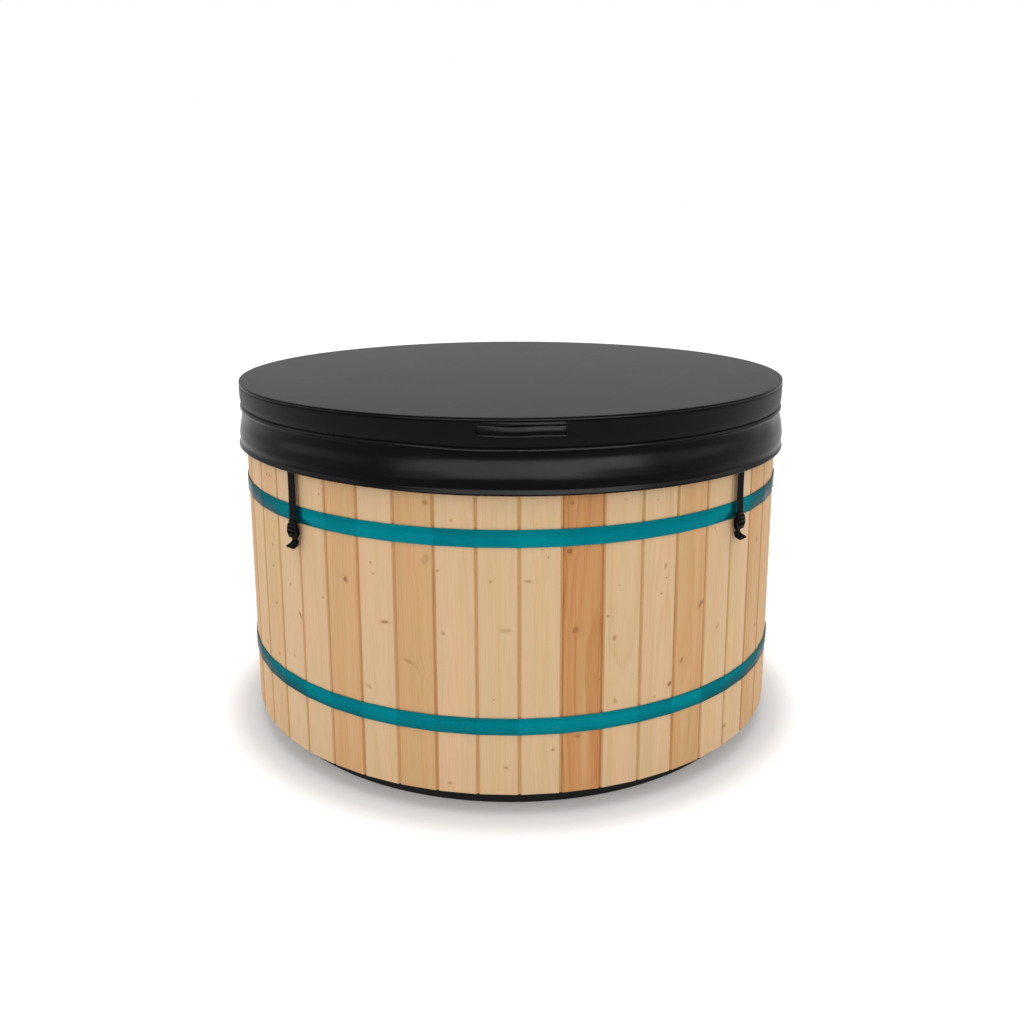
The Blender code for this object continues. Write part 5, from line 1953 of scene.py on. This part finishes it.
@dataclass
class Studio:
    """The white studio: camera, soft lamps, world and a floor that keeps the tub's shadow, its glow painted
    weaker round the tub as a painted shadow ring.
    """

    distance: float = 3.328
    height: float = 1.545
    pitch: float = math.radians(11.89)
    roll: float = math.radians(-0.17)
    lens: float = 35.82
    sensor: float = 36.0
    shift_x: float = 0.0012
    shift_y: float = -0.0672
    floor_size: float = 30.0
    # The floor's glow by distance from the axis, weakest near the tub: a painted shadow ring round its base.
    painted_shadow_start: float = 0.79
    painted_shadow_end: float = 1.09
    glow_with_painted_shadow: tuple[tuple[float, float], ...] = (
        (0.00, 0.13), (0.06, 0.13), (0.18, 0.06), (0.36, 0.12), (0.60, 0.36), (1.00, 0.46),
    )
    ambient: float = 1.06
    target: Triple = (0.0, 0.0, 0.6)
    softbox_place: Triple = (0.0, -0.6, 4.2)
    softbox_size: tuple[float, float] = (3.4, 3.4)
    softbox_power: float = 54.0
    sky_radius: float = 5.6
    sky_height: float = 2.6
    sky_size: tuple[float, float] = (4.6, 2.8)
    sky: tuple[tuple[float, float], ...] = ((-78.0, 105.0), (-18.0, 520.0), (27.0, 700.0), (78.0, 125.0))

    def build(self) -> None:
        """Sets up the studio."""
        scene = bpy.context.scene
        scene.view_settings.view_transform = "Standard"
        self.camera(scene)
        self.world(scene)
        self.floor()
        self.lamp("top_softbox", self.softbox_place, self.softbox_size, self.softbox_power)

    def shine(self, pieces: Sequence[Piece]) -> None:
        """Hangs a bright sky round the front that shows only as gloss, and only on the pieces given."""
        receivers = bpy.data.collections.new("sky_receivers")
        for piece in pieces:
            receivers.objects.link(piece)
        for number, (degrees, power) in enumerate(self.sky, 1):
            point = point_at(math.radians(degrees), self.sky_radius, self.sky_height)
            panel = self.lamp(f"sky_panel_{number}", point, self.sky_size, power)
            panel.visible_diffuse = False
            panel.light_linking.receiver_collection = receivers

    def camera(self, scene: bpy.types.Scene) -> None:
        """Puts the camera at the photograph's place."""
        data = bpy.data.cameras.new("camera")
        data.sensor_width = self.sensor
        data.lens = self.lens
        data.shift_x = self.shift_x
        data.shift_y = self.shift_y
        camera = placed("camera", data)
        aim = Matrix.Rotation(math.pi / 2 - self.pitch, 4, "X") @ Matrix.Rotation(self.roll, 4, "Z")
        camera.matrix_world = Matrix.Translation((0.0, -self.distance, self.height)) @ aim
        scene.camera = camera

    def seen(self, tree: bpy.types.NodeTree) -> Socket:
        """1 for what the camera sees, directly or in gloss and glass, and 0 for other light."""
        path = tree.nodes.new("ShaderNodeLightPath")
        total = path.outputs["Is Camera Ray"]
        for name in ("Is Glossy Ray", "Is Transmission Ray"):
            node = tree.nodes.new("ShaderNodeMath")
            node.operation = "MAXIMUM"
            tree.links.new(total, node.inputs[0])
            tree.links.new(path.outputs[name], node.inputs[1])
            total = node.outputs[0]
        return total

    def world(self, scene: bpy.types.Scene) -> None:
        """A white world, at a plain level for the light that it sheds."""
        world = bpy.data.worlds.new("studio")
        scene.world = world
        world.use_nodes = True
        tree = world.node_tree
        ground = tree.nodes["Background"]
        ground.inputs["Color"].default_value = WHITE
        strength = tree.nodes.new("ShaderNodeMapRange")
        tree.links.new(self.seen(tree), strength.inputs[0])
        strength.inputs[3].default_value = self.ambient
        strength.inputs[4].default_value = 1.0
        tree.links.new(strength.outputs[0], ground.inputs["Strength"])

    def floor(self) -> None:
        """A wide pale floor that shows white and keeps the shadow, with a painted shadow ring: its glow is
        weaker near the tub.
        """
        bm = bmesh.new()
        bmesh.ops.create_grid(bm, x_segments=1, y_segments=1, size=self.floor_size)
        floor = placed("floor", mesh_of(bm, "floor"))
        graph = Graph("floor")
        speck = graph.noise(graph.place(), 300.0, 2.0)
        # Painted shadow: the glow is weaker near the tub and rises to white further out.
        reach = graph.vector("LENGTH", graph.place())
        stops = [(position, (level, level, level)) for position, level in self.glow_with_painted_shadow]
        lift = graph.ramp(graph.spread(reach, self.painted_shadow_start, self.painted_shadow_end), stops)
        material = graph.finish(
            Base_Color=graph.mottled(speck, 0.3, 0.7, (0.71, 0.71, 0.715), (0.72, 0.72, 0.725)),
            Roughness=0.9,
            Specular_IOR_Level=0.0,
            Emission_Color=WHITE,
            Emission_Strength=graph.maths("MULTIPLY", self.seen(graph.tree), lift),
        )
        floor.data.materials.append(material)

    def lamp(self, name: str, location: Sequence[float], size: tuple[float, float], power: float) -> Piece:
        """A soft lamp that looks at the tub.

        Args:
            name: the lamp's name.
            location: where it hangs.
            size: its width and height.
            power: its power in watts.

        Returns:
            The lamp.
        """
        data = bpy.data.lights.new(name, "AREA")
        data.shape = "RECTANGLE"
        data.size, data.size_y = size
        data.energy = power
        lamp = placed(name, data)
        lamp.location = location
        lamp.visible_camera = False
        aim = Vector(self.target) - Vector(location)
        lamp.rotation_euler = aim.to_track_quat("-Z", "Y").to_euler()
        return lamp


def main() -> None:
    """Builds the tub's sub-assemblies in order and sets up the studio."""
    logging.basicConfig(level=logging.INFO, format="%(message)s")
    studio = Studio()
    studio.build()
    palette = Palette.painted()
    bench = Workbench()
    StaveWall(bench, palette.spruce).build()
    Hoops(bench, palette).build()
    Shell(bench, palette).build()
    Seating(bench, palette.bench_wood).build()
    Fittings(bench, palette).build()
    lid = Lid(bench, palette)
    lid.build()
    straps = (
        ("front_left", -45.9, 0.147),
        ("front_right", 45.9, 0.137),
        ("rear_right", 134.1, 0.142),
        ("rear_left", 225.9, 0.142),
    )
    for place, degrees, drop in straps:
        azimuth = LID_TURN + math.radians(degrees)
        Strap(bench, palette, place, azimuth, drop, lid.hem_drop(azimuth)).build()
    studio.shine([piece for piece in bench.pieces if piece.name in GLOSSY_PIECES])
    log.info("%d pieces", len(bench.pieces))


if __name__ == "__main__":
    main()
